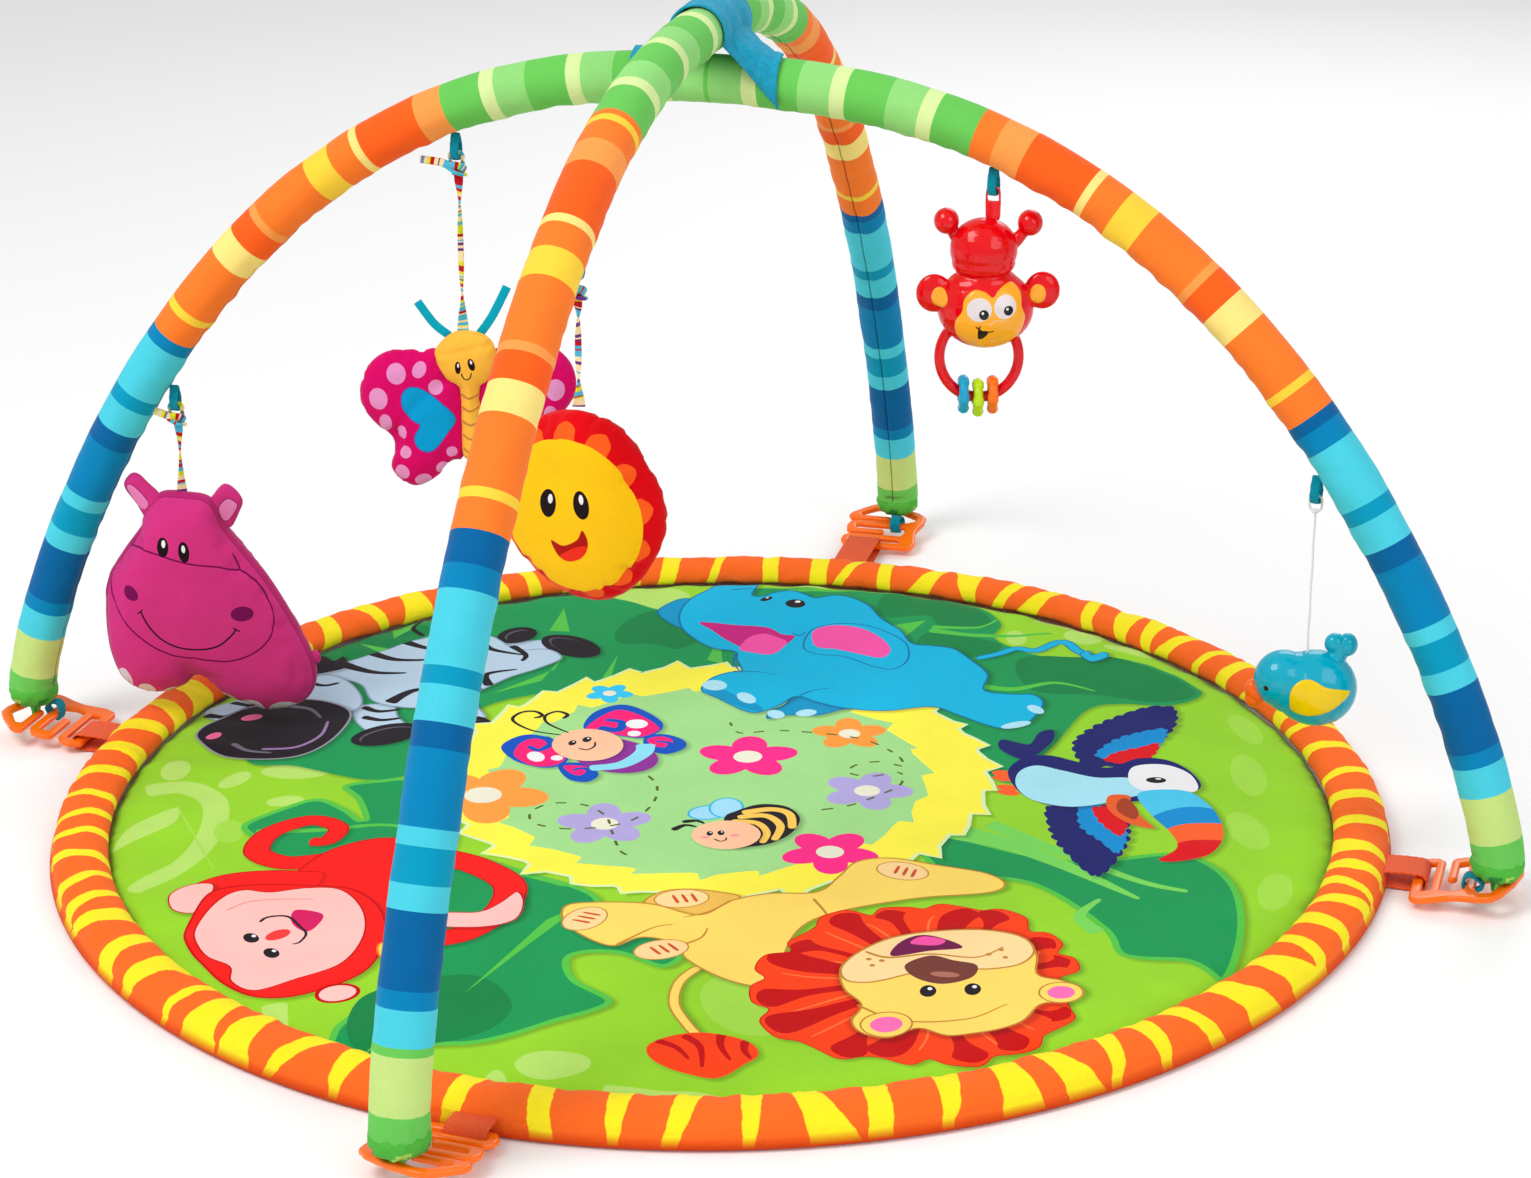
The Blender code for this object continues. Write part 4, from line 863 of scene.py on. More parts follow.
def zebra():
    """Printed zebra."""
    neck = smooth([(-384, 150), (-360, 168), (-330, 200), (-302, 212), (-280, 190), (-270, 150),
                   (-300, 128),
                   (-340, 120), (-372, 126)])
    body = smooth([(-322, 214), (-300, 206), (-276, 192), (-262, 160), (-232, 148), (-212, 156),
                   (-188, 178),
                   (-166, 206), (-146, 224), (-130, 244), (-142, 262), (-166, 262), (-190, 290),
                   (-228, 292),
                   (-256, 270), (-282, 246)])
    head = smooth([(-380, 112), (-376, 86), (-352, 61), (-312, 58), (-290, 74), (-277, 108), (-276, 142),
                   (-298, 161), (-326, 163), (-352, 148)])
    hoofs = (oval(-245, 100, 27, 17, 35), oval(-125, 268, 29, 17, -46),
             oval(-186, 112, 17, 22, 10), oval(-168, 290, 14, 18, -30))
    legs = (stroke([(-262, 156), (-256, 130), (-246, 112)], 34, 30),
            stroke([(-214, 160), (-198, 142), (-188, 124)], 36,
                                                                         28),
            stroke([(-180, 256), (-156, 262), (-140, 268)], 44, 28))
    regions = []
    for part in legs:
        regions += animal(part, MIST, MIST_LINE)
    for part in hoofs:
        regions += [("shade", shifted(part, 2.5, -2.5)), (INK, part), (rgb(88, 84, 100), inset(part, 6)),
                    (INK, inset(shifted(part, 1.6, -1.6), 6))]
    regions += animal(body, MIST, MIST_LINE) + animal(neck, MIST, MIST_LINE)
    bars = (([(-296, 232), (-270, 216), (-244, 214)], 12), ([(-284, 262), (-256, 240), (-226, 240)], 11),
            ([(-258, 280), (-232, 262), (-206, 268)], 10), ([(-228, 292), (-212, 274), (-190, 276)], 8),
            ([(-196, 286), (-186, 262), (-160, 250)], 9), ([(-250, 158), (-236, 180), (-214, 188)], 11),
            ([(-222, 152), (-206, 176), (-184, 184)], 10), ([(-180, 190), (-184, 212), (-162, 222)], 8),
            ([(-268, 150), (-256, 142), (-240, 146)], 7), ([(-266, 132), (-252, 126), (-238, 130)], 7),
            ([(-216, 150), (-200, 140), (-184, 146)], 7), ([(-170, 268), (-158, 250), (-160, 238)], 7))
    for line, width in bars:
        regions.append((INK, stroke(line, width, 2), body) if width > 7 else (INK, stroke(line, width, 3)))
    regions += [(INK, stroke(line, width, 3)) for line, width in (
        ([(-382, 140), (-366, 132), (-350, 150)], 7), ([(-366, 160), (-346, 152), (-330, 172)], 8),
        ([(-346, 182), (-324, 172), (-312, 186)], 8), ([(-326, 204), (-304, 190), (-292, 196)], 8))]
    mane = smooth([(-336, 218), (-352, 214), (-346, 232), (-332, 228), (-336, 246), (-318, 236),
                   (-316, 254),
                   (-302, 238), (-296, 248), (-290, 226), (-304, 216), (-320, 212)])
    regions += animal(mane, INK, INK)
    regions += [(INK, stroke([(-240, 290), (-250, 306), (-246, 324), (-256, 340)], 4, 4)),
                (INK, smooth([(-250, 322), (-262, 334), (-264, 352), (-254, 346), (-248, 356),
                              (-242, 338)])),
                ("shade", shifted(inset(head, -1), 2.5, -2.5)), (rgb(150, 146, 164), head),
                (INK, inset(head, 1.6)),
                (rgb(238, 110, 160), oval(-368, 98, 7, 4.5, 60)),
                (rgb(238, 110, 160), oval(-346, 130, 8, 5, 20)),
                (rgb(150, 120, 170), stroke([(-330, 74), (-306, 78), (-292, 98), (-290, 124)], 3.4, 2)),
                (rgb(112, 108, 126), stroke([(-352, 84), (-340, 72), (-322, 68)], 5, 2)),
                (rgb(112, 108, 126), stroke([(-322, 152), (-306, 146), (-296, 130)], 5, 2))]
    return regions


print_regions = soft_shades(
    foliage() + zebra() + nest() + toucan() + elephant() + ape() + lion() + nest_butterfly() + nest_bee())
def edge_at(turn):
    """Radius of the printed top in this direction from the view's right, in millimetres."""
    return PAD_RADIUS + spread(turn + math.radians(15))


rim_line = [Vector((math.cos(a),
                    math.sin(a))) * edge_at(a) for a in (math.tau * i / 300 for i in range(300))]
flat, triangles, colours = printed(rim_line, print_regions, GRASS, 8.0)
high = []
for u, v in flat:
    far = math.hypot(u, v)
    turn = math.atan2(v, u)
    swell = 0.5 * noise.noise(Vector((u, v, 3)) / 130) + 0.25 * noise.noise(Vector((u, v, 9)) / 55)
    border = edge_at(turn)
    edge = max(0.0, (far - 290) / (border - 290))
    pucker = 0.55 * math.sin(turn * 46 + 2.2 * noise.noise(Vector((u, v,
                                                                   1)) / 60)) + 0.45 * math.sin(turn * 71 + 1)
    crease = -abs(noise.noise(Vector((u, v, 20)) / 90)) ** 0.5 * 0.25
    lift = 0.0097 + 0.0013 * swell + 0.0008 * crease + 0.0011 * edge ** 1.6 * pucker
    seam = max(0.0, (far - (border - 22)) / 22)
    high.append(max(0.0042, lift - 0.0052 * seam ** 2))
top_count = len(flat)
on_edge = [i for i, (u, v) in enumerate(flat) if math.hypot(u, v) > edge_at(math.atan2(v, u)) - 0.3]
on_edge.sort(key=lambda i: math.atan2(flat[i][1], flat[i][0]))
verts = [MAT_CENTRE + VIEW_RIGHT * (u / 1000) + VIEW_AWAY * (v / 1000) + UP * h for (u, v),
         h in zip(flat, high)]
verts += [Vector((verts[i].x, verts[i].y, 0.0004)) for i in on_edge]
verts.append(MAT_CENTRE + UP * 0.0004)
turned = [(a, b, c) if (flat[b] - flat[a])[0] * (flat[c] - flat[a])[1] > (flat[b] - flat[a])[1]
          * (flat[c] - flat[a])[0] else (a, c, b) for a, b, c in triangles]
faces, tints = list(turned), list(map(tuple, colours))
for k in range(len(on_edge)):
    nxt = (k + 1) % len(on_edge)
    faces += [(on_edge[nxt], on_edge[k], top_count + k, top_count + nxt), (top_count + k, len(verts) - 1,
                                                                          top_count + nxt)]
    tints += [GRASS, rgb(226, 222, 210)]
mat_print = cloth("mat_print", grain=0.0011, depth=0.00010, mottle=0.06, sheen=0.08, crease=0.0006)
pad = make("mat_pad", verts, faces, mat_print, "gym", ("mat_top", "mat_batting", "mat_backing"), tints)


# ---------------------------------------------------------------- the stuffed rim
def rim():
    """Padded hem: striped print, gathered along both seams, with a bound lower edge."""
    around, tube = 1260, []
    half = RIM_WIDTH / 2
    for degrees in range(-8, 201, 13):
        tube.append(math.radians(degrees))
    verts, stripe, bind, faces = [], [], [], []
    row = 3 + len(tube)
    draw = random.Random(5)
    blades = []
    turn = 0.0
    while turn < math.tau - 0.03:
        wide = draw.uniform(0.020, 0.040)
        blades.append((turn, wide, draw.uniform(0.3, 1.25), draw.uniform(-0.9, 1.1), draw.random() < 0.25))
        turn += wide + draw.uniform(0.032, 0.072)
    for i in range(around):
        a = math.tau * i / around
        out = Vector((math.cos(a), math.sin(a), 0))
        far = MAT_RADIUS + spread(a) / 1000
        wide = 0.5 + 0.5 * noise.noise(Vector((math.cos(a) * 9, math.sin(a) * 9, 2)))
        gather = math.sin(a * 117 + 9 * noise.noise(out
                                                    * 6)) * 0.5 + math.sin(a * 178 + 9 * noise.noise(out * 9)) * 0.5
        column = [(far - 0.0012, 0.0006), (far + 0.0006, BINDING * 0.45), (far - 0.0006, BINDING)]
        shares = [-0.18, -0.12, -0.06]
        for b in tube:
            near_seam = math.cos(b) ** 2
            puff = 1 + 0.06 * (wide - 0.5) - 0.075 * near_seam * gather - 0.030 * gather * math.sin(b)
            lump = 0.0016 * noise.noise(Vector((math.cos(a) * 22, math.sin(a) * 22, b * 1.2)))
            reach = half * (1.0 if b < math.pi / 2 else 0.985)
            radius = far - half + (reach - 0.0018 * (b < math.pi / 2)) * math.cos(b) * (0.93 + 0.07 * puff)
            height = RIM_HEIGHT * (0.5 + 0.5 * math.sin(b)) * (0.985 + 0.5 * (puff - 1)) + lump
            column.append((radius, min(max(height, 0.0022), RIM_HEIGHT + 0.0012)))
            shares.append((b + 0.14) / 3.6)
        verts += [MAT_CENTRE + out * r + UP * z for r, z in column]
        best = -1.0
        for share in shares:
            best = -1.0
            for start, width, taper, lean, whole in blades:
                where = a - start - lean * 0.05 * (share - 0.5)
                size = width * (0.5 + taper * (share if lean > 0 else 1 - share)) * 0.62
                if whole:
                    size = width * 0.42
                gap = (size - abs(where - width / 2)) / 0.02
                best = max(best, gap)
            stripe.append(min(1.0, max(-1.0, best)))
        bind += [1.0, 1.0, 0.6] + [0.0] * len(tube)
    for i in range(around):
        for j in range(row - 1):
            a, b = i * row + j, (i + 1) % around * row + j
            faces.append((a, b, b + 1, a + 1))
        faces.append((i * row + row - 1, (i + 1) % around * row + row - 1, (i + 1) % around * row, i * row))
    material, tree, shader = node_material("rim_print")
    stripes = new_node(tree, "ShaderNodeAttribute", attribute_name="stripe").outputs["Fac"]
    wobble = ranged(tree, noise_at(tree, 150.0, 2.0), 0.3, 0.7, -0.05, 0.05)
    total = new_node(tree, "ShaderNodeMath", operation="ADD")
    tree.links.new(stripes, total.inputs[0])
    tree.links.new(wobble, total.inputs[1])
    yellow = ranged(tree, total.outputs[0], -0.03, 0.03, 0.0, 1.0)
    both = blend_colours(tree, rgb(255, 108, 34), rgb(255, 236, 36), yellow)
    bound = new_node(tree, "ShaderNodeAttribute", attribute_name="bind").outputs["Fac"]
    cord = blend_colours(tree, both, rgb(214, 66, 8), bound)
    yarn = noise_at(tree, 1000.0, 3.0, 0.7)
    base = blend_colours(tree, cord, ranged(tree, yarn, 0.3, 0.7, 0.93, 1.03), 1.0, "MULTIPLY")
    tree.links.new(base, shader.inputs["Base Color"])
    shader.inputs["Roughness"].default_value = 0.8
    shader.inputs["Sheen Weight"].default_value = 0.04
    shader.inputs["Specular IOR Level"].default_value = 0.1
    folds = noise_at(tree, 70.0, 3.0, 0.6)
    bumped(tree, shader, [(folds, 0.0016), (yarn, 0.0001)])
    return make("rim", verts, faces, material, "gym", ("mat_rim",), floats={"stripe": stripe, "bind": bind})


rim()

# ---------------------------------------------------------------- striped sleeves and gathered feet
TUBE, APEX, SLEEVE_END_Z = 0.0165, Vector((-0.020, 0.0275, 0)), 0.0335
LEGS = {"left": (Vector((-0.520, -0.0235, 0)), 0.494), "right": (Vector((0.520, -0.0405, 0)), 0.494),
        "front": (Vector((-0.032, -0.5345, 0)), 0.5285), "back": (Vector((-0.013, 0.5345, 0)), 0.5285)}
GREEN, PALE_GREEN, LIME, CYAN, TEAL, BLUE, DARK_BLUE = (
    rgb(106, 200, 88), rgb(196, 224, 130), rgb(146, 218, 124), rgb(74, 205, 225), rgb(0, 152, 190),
                                                        rgb(0, 130, 184),
    rgb(0, 98, 158))
ORANGE, DEEP_ORANGE, PEACH, GOLD, BUTTER = (rgb(255, 126, 44), rgb(255, 98, 28), rgb(255, 158, 78),
                                            rgb(255, 212, 64), rgb(255, 228, 132))
PALE_LIME = rgb(216, 238, 163)
# each colour zone: where it ends as a share of the leg, its stripe widths in millimetres, its colours
ZONES = ((0.06, (12, 32), (GREEN, PALE_GREEN)),
         (0.40, (20, 10, 42, 14), (CYAN, BLUE, DARK_BLUE, CYAN, TEAL)),
         (0.76, (18, 6, 44, 20), (ORANGE, GOLD, ORANGE, BUTTER, DEEP_ORANGE, PEACH)),
         (1.0, (28, 10, 22), (GREEN, PALE_LIME, LIME)))


def leg_point(leg, t):
    """Point on a leg's centreline, t from 0 at the foot to pi/2 over the crossing."""
    foot, top = LEGS[leg]
    spread, rise = max(math.cos(t), 0.0) ** 0.81, math.sin(t) ** 1.55
    bow = spread ** 2
    wide, deep = (spread, bow) if leg in ("left", "right") else (bow, spread)
    return Vector((APEX.x + wide * (foot.x - APEX.x), APEX.y + deep * (foot.y - APEX.y),
                   SLEEVE_END_Z + (top - SLEEVE_END_Z) * rise))


def leg_line(leg):
    """Finely sampled centreline from the foot with its running lengths in millimetres."""
    points = [leg_point(leg, math.pi / 2 * i / 600) for i in range(601)]
    lengths = [0.0]
    for a, b in zip(points, points[1:]):
        lengths.append(lengths[-1] + 1000 * (b - a).length)
    return points, lengths


def at_length(line, s):
    """Point at a running length along a leg's centreline."""
    points, lengths = line
    j = min(max(int(np.searchsorted(lengths, s)) - 1, 0), len(points) - 2)
    return points[j].lerp(points[j + 1],
                          min(max((s - lengths[j]) / (lengths[j + 1] - lengths[j]), 0.0), 1.0))


def stripe_marks(length):
    """The print up one leg as (end of stripe, colour): each zone repeats its own widths and colours."""
    marks, end = [], 0.0
    for share, widths, colours in ZONES:
        step = 0
        while end < share * length - 4:
            end = min(end + widths[step % len(widths)], share * length)
            marks.append((end, colours[step % len(colours)]))
            step += 1
    return marks[:-1] + [(length, marks[-1][1])]


def sleeve(arch, first, last, hint):
    """Quilted cloth tube over a whole arch, its print running up from both feet."""
    lines = {leg: leg_line(leg) for leg in (first, last)}
    total = lines[first][1][-1] + lines[last][1][-1]
    stops = []
    for leg in (first, last):
        length, previous = lines[leg][1][-1], 0.0
        part = []
        for mark, colour in stripe_marks(length):
            parts = max(1, round((mark - previous) / 2.6))
            part += [(previous + (mark - previous) * (k + 1) / parts, colour) for k in range(parts)]
            previous = mark
        stops.append(part)
    front = [(0.0, stops[0][0][1])] + stops[0]
    back = [(total - s, colour) for s, colour in [(0.0, stops[1][0][1])] + stops[1]][::-1]
    places = [s for s, _ in front] + [s for s, _ in back[1:]]
    tints = [c for _, c in front[1:]] + [c for _, c in back[1:]]
    first_length = lines[first][1][-1]

    def centre(s):
        return at_length(lines[first], s) if s <= first_length else at_length(lines[last], total - s)

    around = [math.tau * j / 30 for j in range(30)]
    around = sorted(around + [math.pi - 0.035, math.pi + 0.035])
    rings = []
    for i, s in enumerate(places):
        tangent = (centre(min(s + 2, total)) - centre(max(s - 2, 0.0))).normalized()
        if s < 6 or s > total - 6:
            tangent = UP if s < 6 else -UP
        side = (hint - tangent * hint.dot(tangent)).normalized()
        outer = side.cross(tangent).normalized()
        if outer.dot(centre(s) - Vector((APEX.x, APEX.y, 0.1))) < 0:
            outer = -outer
        bend = 0.35 + 0.65 * min(1.0,
                                 max(0.0, (min(s, total - s) - 60)
                                     / 240)) * min(1.0, abs(s - first_length) / 90)
        foot_gap = min(s, total - s)
        ring = []
        for a in around:
            inward = 0.5 - 0.5 * math.cos(a)
            fold = noise.noise(Vector((s / 9.0, 1.1 * math.sin(a) + 3, 1.3 * math.cos(a) + ord(arch))))
            soft = noise.noise(Vector((s / 34.0, math.sin(a) * 1.4, math.cos(a) * 1.4 + 2 * ord(arch))))
            groove = math.exp(-((abs(a - math.pi)) / 0.05) ** 2)
            gather = math.exp(-foot_gap / 14) * math.sin(a * 11 + 2 * soft) * 0.0007
            radius = TUBE + 0.0002 + (0.0010 * bend * inward ** 2 + 0.0002) * fold * 1.1 + 0.0007 * soft
            radius += gather - 0.0011 * groove - 0.0006 * (1 if abs(s - first_length) < 30 else 0)
            ring.append(centre(s) + outer * (radius * math.cos(a)) + side * (radius * math.sin(a)))
        rings.append(ring)
    verts, faces = tube_rings(rings, closed_ends=False)
    colours = []
    for colour in tints:
        # painted shade: the faces in the seam groove on the inner side of the sleeve are darkened to 45% of the stripe
        # colour
        groove_shade = tuple(c * 0.45 for c in colour)
        colours += [groove_shade if abs(around[j] - math.pi) < 0.05 and around[(j + 1) % len(around)] > math.pi
                    - 0.05
                    and around[j] < math.pi + 0.02 else colour for j in range(len(around))]
    return verts, faces, colours


sleeve_print = cloth("sleeve_print", grain=0.0010, depth=0.0001, mottle=0.06, sheen=0.12, crease=0.0009)
for arch, first, last, hint in (("a", "left", "right", Vector((0, 1, 0))),
                                ("b", "front", "back", Vector((1, 0, 0)))):
    verts, faces, tints = sleeve(arch, first, last, hint)
    piece = make(f"sleeve_{arch}", verts, faces, sleeve_print, "gym", (f"arch_{arch}_sleeve",), tints)

foot_cloth = cloth("foot_cloth", mottle=0.12, crease=0.0008)
# foot gather greens: FOLD is the cloth's own colour, the other two are its painted highlight and painted shade for the
# folds
FOLD, FOLD_PAINTED_HIGHLIGHT, FOLD_PAINTED_SHADE = rgb(84, 184, 66), rgb(168, 216, 96), rgb(44, 148, 66)
for leg, (foot, _) in LEGS.items():
    draw = random.Random(leg)
    phase = draw.uniform(0, 6)
    rings = []
    for height, radius, fold in ((0.0345, 0.0160, 0.02), (0.0325, 0.0171, 0.02), (0.0300, 0.0173, 0.03),
                                 (0.0275, 0.0170, 0.04), (0.0250, 0.0161, 0.07), (0.0228, 0.0144, 0.10),
                                 (0.0210, 0.0118, 0.13), (0.0198, 0.0088, 0.16), (0.0186, 0.0060, 0.16),
                                 (0.0168, 0.0038, 0.12), (0.0140, 0.0031, 0.12), (0.0112, 0.0028, 0.15),
                                 (0.0098, 0.0015, 0.15)):
        ring = []
        for j in range(48):
            a = math.tau * j / 48
            twist = a + (0.0345 - height) * 45
            crimp = math.sin(9 * twist + phase) * 0.6 + math.sin(14 * twist + 2 * phase) * 0.4
            lump = 0.5 * noise.noise(Vector((math.cos(a) * 2, math.sin(a) * 2, height * 90 + phase)))
            r = radius * (1 + fold * (crimp + lump))
            ring.append(foot + Vector((math.cos(a) * r, math.sin(a) * r, height)))
        rings.append(ring)
    verts, faces = tube_rings(rings[::-1])
    tints = []
    for face in faces:
        middle = sum((verts[i] for i in face), Vector()) / len(face)
        twist = math.atan2(middle.y - foot.y, middle.x - foot.x) + (0.0345 - middle.z) * 45
        # painted light and shade: spiral bands over the gathered lower part are lightened and darkened like lit and
        # shaded folds
        band = math.sin(3 * twist + phase) + 0.5 * math.sin(7 * twist)
        low = middle.z < 0.0285
        tints.append(FOLD_PAINTED_HIGHLIGHT if low and band > 0.75 else FOLD_PAINTED_SHADE if low and band < -0.75 else FOLD)
    make(f"foot_gather_{leg}", verts, faces, foot_cloth, "gym", (f"foot_{leg}",), tints)

# ---------------------------------------------------------------- CAD pieces kept as they are
kept = {"foam": ("arch_a_foam", "arch_b_foam"),
        "rod": ("arch_a_rod_left", "arch_a_rod_right", "arch_b_rod_front",
                                                       "arch_b_rod_back"),
        "ferrule": ("arch_a_ferrule", "arch_b_ferrule")}
looks = {"foam": cloth("foam_skin", rgb(232, 224, 200), grain=0.0016, mottle=0.15),
         "rod": moulded("rod_skin", rgb(150, 156, 160), 0.3),
         "ferrule": moulded("ferrule_skin", rgb(190, 192, 196), 0.25)}
for slot, nodes in kept.items():
    for name in nodes:
        node = bpy.data.objects[name]
        for place in node.material_slots:
            place.material = looks[slot]

# ---------------------------------------------------------------- where the toys hang
LOOP_LONG, LOOP_INNER, LOOP_WALL = 0.0060, 0.0040, 0.0012


def hang(leg, t):
    """Pivot under a terry loop on the arch at t, and the level axis the toy swings about."""
    tangent = (leg_point(leg, t + 0.01) - leg_point(leg, t - 0.01)).normalized()
    axis = Vector((tangent.x, tangent.y, 0)).normalized()
    inward = (-UP + tangent * tangent.z).normalized()
    stand_off = TUBE + 0.0006 + 0.003 * abs(tangent.z) + 0.0004
    pivot = leg_point(leg, t) + inward * stand_off - UP * (LOOP_LONG + LOOP_INNER + LOOP_WALL)
    return pivot, axis


HANGS = {"hippo": hang("left", 0.713), "butterfly": hang("left", 1.278), "sun": hang("front", 1.143),
         "monkey": hang("right", 1.278), "bird": hang("right", 0.732), "spare": hang("front", 0.736)}


TALL = 1.064


def facing(pivot, yaw=0.0, wide=1.0, tall=1.0, deep=1.0):
    """Maps a toy's (right, up, towards the viewer) millimetres below its pivot, with a scale for each."""
    right = Matrix.Rotation(yaw, 3, "Z") @ VIEW_RIGHT
    front = right.cross(UP)
    return lambda x, y, d=0.0: Vector(pivot) + (right * (x * wide) + UP * (y * tall) + front
                                                * (d * deep)) / 1000


def ribbon(path, widths, thick, across, twist=0.0, closed=False, sides=14, soft=0.0, seed=0):
    """Flat band along a path: rings of a rounded flat section, turned by twist radians from end to end."""
    rings = []
    count = len(path)
    for i, p in enumerate(path):
        ahead = path[(i + 1) % count] if closed or i < count - 1 else p
        behind = path[i - 1] if closed or i else p
        tangent = (ahead - behind).normalized()
        share = i / (count - 1)
        flat = (across - tangent * across.dot(tangent)).normalized()
        flat = Matrix.Rotation(twist * share, 3, tangent) @ flat
        normal = tangent.cross(flat)
        width = widths(share) if callable(widths) else widths
        ring = []
        for j in range(sides):
            a = math.tau * j / sides
            c, s = math.cos(a), math.sin(a)
            x = math.copysign(abs(c) ** 0.55, c) * width / 2
            z = math.copysign(abs(s) ** 0.7, s) * thick / 2
            lump = 1 + soft * noise.noise(Vector((share * 26, a, seed)))
            ring.append(p + flat * x * lump + normal * z
                        * (1 + 2 * soft * noise.noise(Vector((share * 40, a, seed + 5)))))
        rings.append(ring)
    return tube_rings(rings, closed_ends=not closed, joined=closed)


TAPE = (rgb(196, 14, 34), rgb(250, 228, 176), rgb(226, 226, 34), rgb(74, 190, 222), rgb(120, 48, 138),
        rgb(250, 228, 176), rgb(226, 226, 34), rgb(196, 14, 34), rgb(74, 190, 222), rgb(250, 228, 176))
tape_cloth = cloth("tape_cloth", grain=0.0005, depth=0.0001, mottle=0.12, sheen=0.2)


def tape_colours(faces, sides, seed):
    """Woven stripes across a tape, one or two rings each."""
    draw = random.Random(seed)
    colours, ring_colour, left = [], TAPE[0], 0
    for i in range(len(faces) // sides + 1):
        if left <= 0:
            ring_colour, left = TAPE[draw.randrange(len(TAPE))], draw.choice((1, 1, 2, 2, 3))
        left -= 1
        colours += [ring_colour] * sides
    return colours[:len(faces)]


def joined(parts):
    """One vertex and face list from several, with their colours."""
    verts, faces, colours = [], [], []
    for part_verts, part_faces, part_colours in parts:
        start = len(verts)
        verts += part_verts
        faces += [tuple(start + i for i in f) for f in part_faces]
        colours += part_colours
    return verts, faces, colours


def toy_strap(toy, length, lean):
    """Striped tape: bight through the terry loop, knot, loose tail and a twisted fall to the toy."""
    pivot, axis = Vector(HANGS[toy][0]), Vector(HANGS[toy][1])
    across = axis.cross(UP)
    place = facing(pivot)
    at = lambda s, z, d=0.0: pivot + (axis * s + UP * z + across * d) / 1000
    bight = smooth([at(0, -10.5), at(-3.6, -8.4, 0.5), at(-4.4, -4, 0.2), at(-3.2, -0.6), at(0, 0.1),
                    at(3.2, -0.6),
                    at(4.4, -4, -0.2), at(3.6, -8.4, -0.5), at(0, -10.5)], False, 0.0009)
    coil = smooth([place(-4.5, -9.5, 1), place(-1.5, -7.8, 4.2), place(3.8, -9.2, 3.4),
                   place(4.6, -12.5, -1),
                   place(1, -13.5, -4), place(-4.2, -12, -2.4), place(-4, -11, 3.2), place(1, -13.6, 4.6),
                   place(4.6, -15, 0.6), place(1.2, -16, -3.4), place(-2.6, -14.5, -2)], False, 0.0009)
    tail = smooth([place(1, -11, 2), place(-4, -8.5, 3.4), place(-10, -6, 3.2),
                   place(-17, -4.2 + lean, 2.4),
                   place(-24, -2.5 + 2 * lean, 2)], False, 0.0009)
    fall = smooth([place(0.5, -12, 0), place(1.0, -20, 0.4), place(0.4, -length * 0.6, -0.4),
                   place(0, -length, 0)],
                  False, 0.0009)
    parts = []
    for seed, (path, width, thick, twist) in enumerate((
            (bight, 3.4, 1.3, 0.0), (coil, 5.2, 2.3, 2.0), (tail, 5.4, 2.6, 0.8),
            (fall, lambda t: 6.8 - 3.2 * math.sin(math.pi * t) ** 2 + 0.9 * t, 1.5,
             math.pi * (1 if length < 80 else 2)))):
        wide = (lambda t, w=width: w(t) / 1000) if callable(width) else width / 1000
        verts, faces = ribbon(path, wide, thick / 1000, VIEW_RIGHT if path is fall else UP, twist,
                              soft=0.08, seed=seed)
        parts.append((verts, faces, tape_colours(faces, 14, seed + len(toy))))
    verts, faces, colours = joined(parts)
    piece = make(f"{toy}_tape", verts, faces, tape_cloth, toy, (f"{toy}_strap",), colours)
    return piece


terry_teal = terry("terry_teal", rgb(0, 158, 184))
for toy, (pivot, axis) in HANGS.items():
    pivot, axis = Vector(pivot), Vector(axis)
    across = axis.cross(UP)
    at = lambda s, z: pivot + (across * s + UP * z) / 1000
    path = smooth([at(0, -4.6), at(3.2, -3.4), at(4.7, -0.2), at(4.5, 3.6), at(3.0, 8.0), at(1.1, 12.0),
                   at(0, 12.9),
                   at(-1.1, 12.0), at(-3.0, 8.0), at(-4.5, 3.6), at(-4.7, -0.2), at(-3.2, -3.4)], True,
                  0.0012)
    verts, faces = ribbon(path, 0.0060, 0.0013, axis, closed=True, soft=0.16, seed=len(toy))
    make(f"terry_loop_{toy}", verts, faces, terry_teal, "gym", (f"toy_loop_{toy}",))


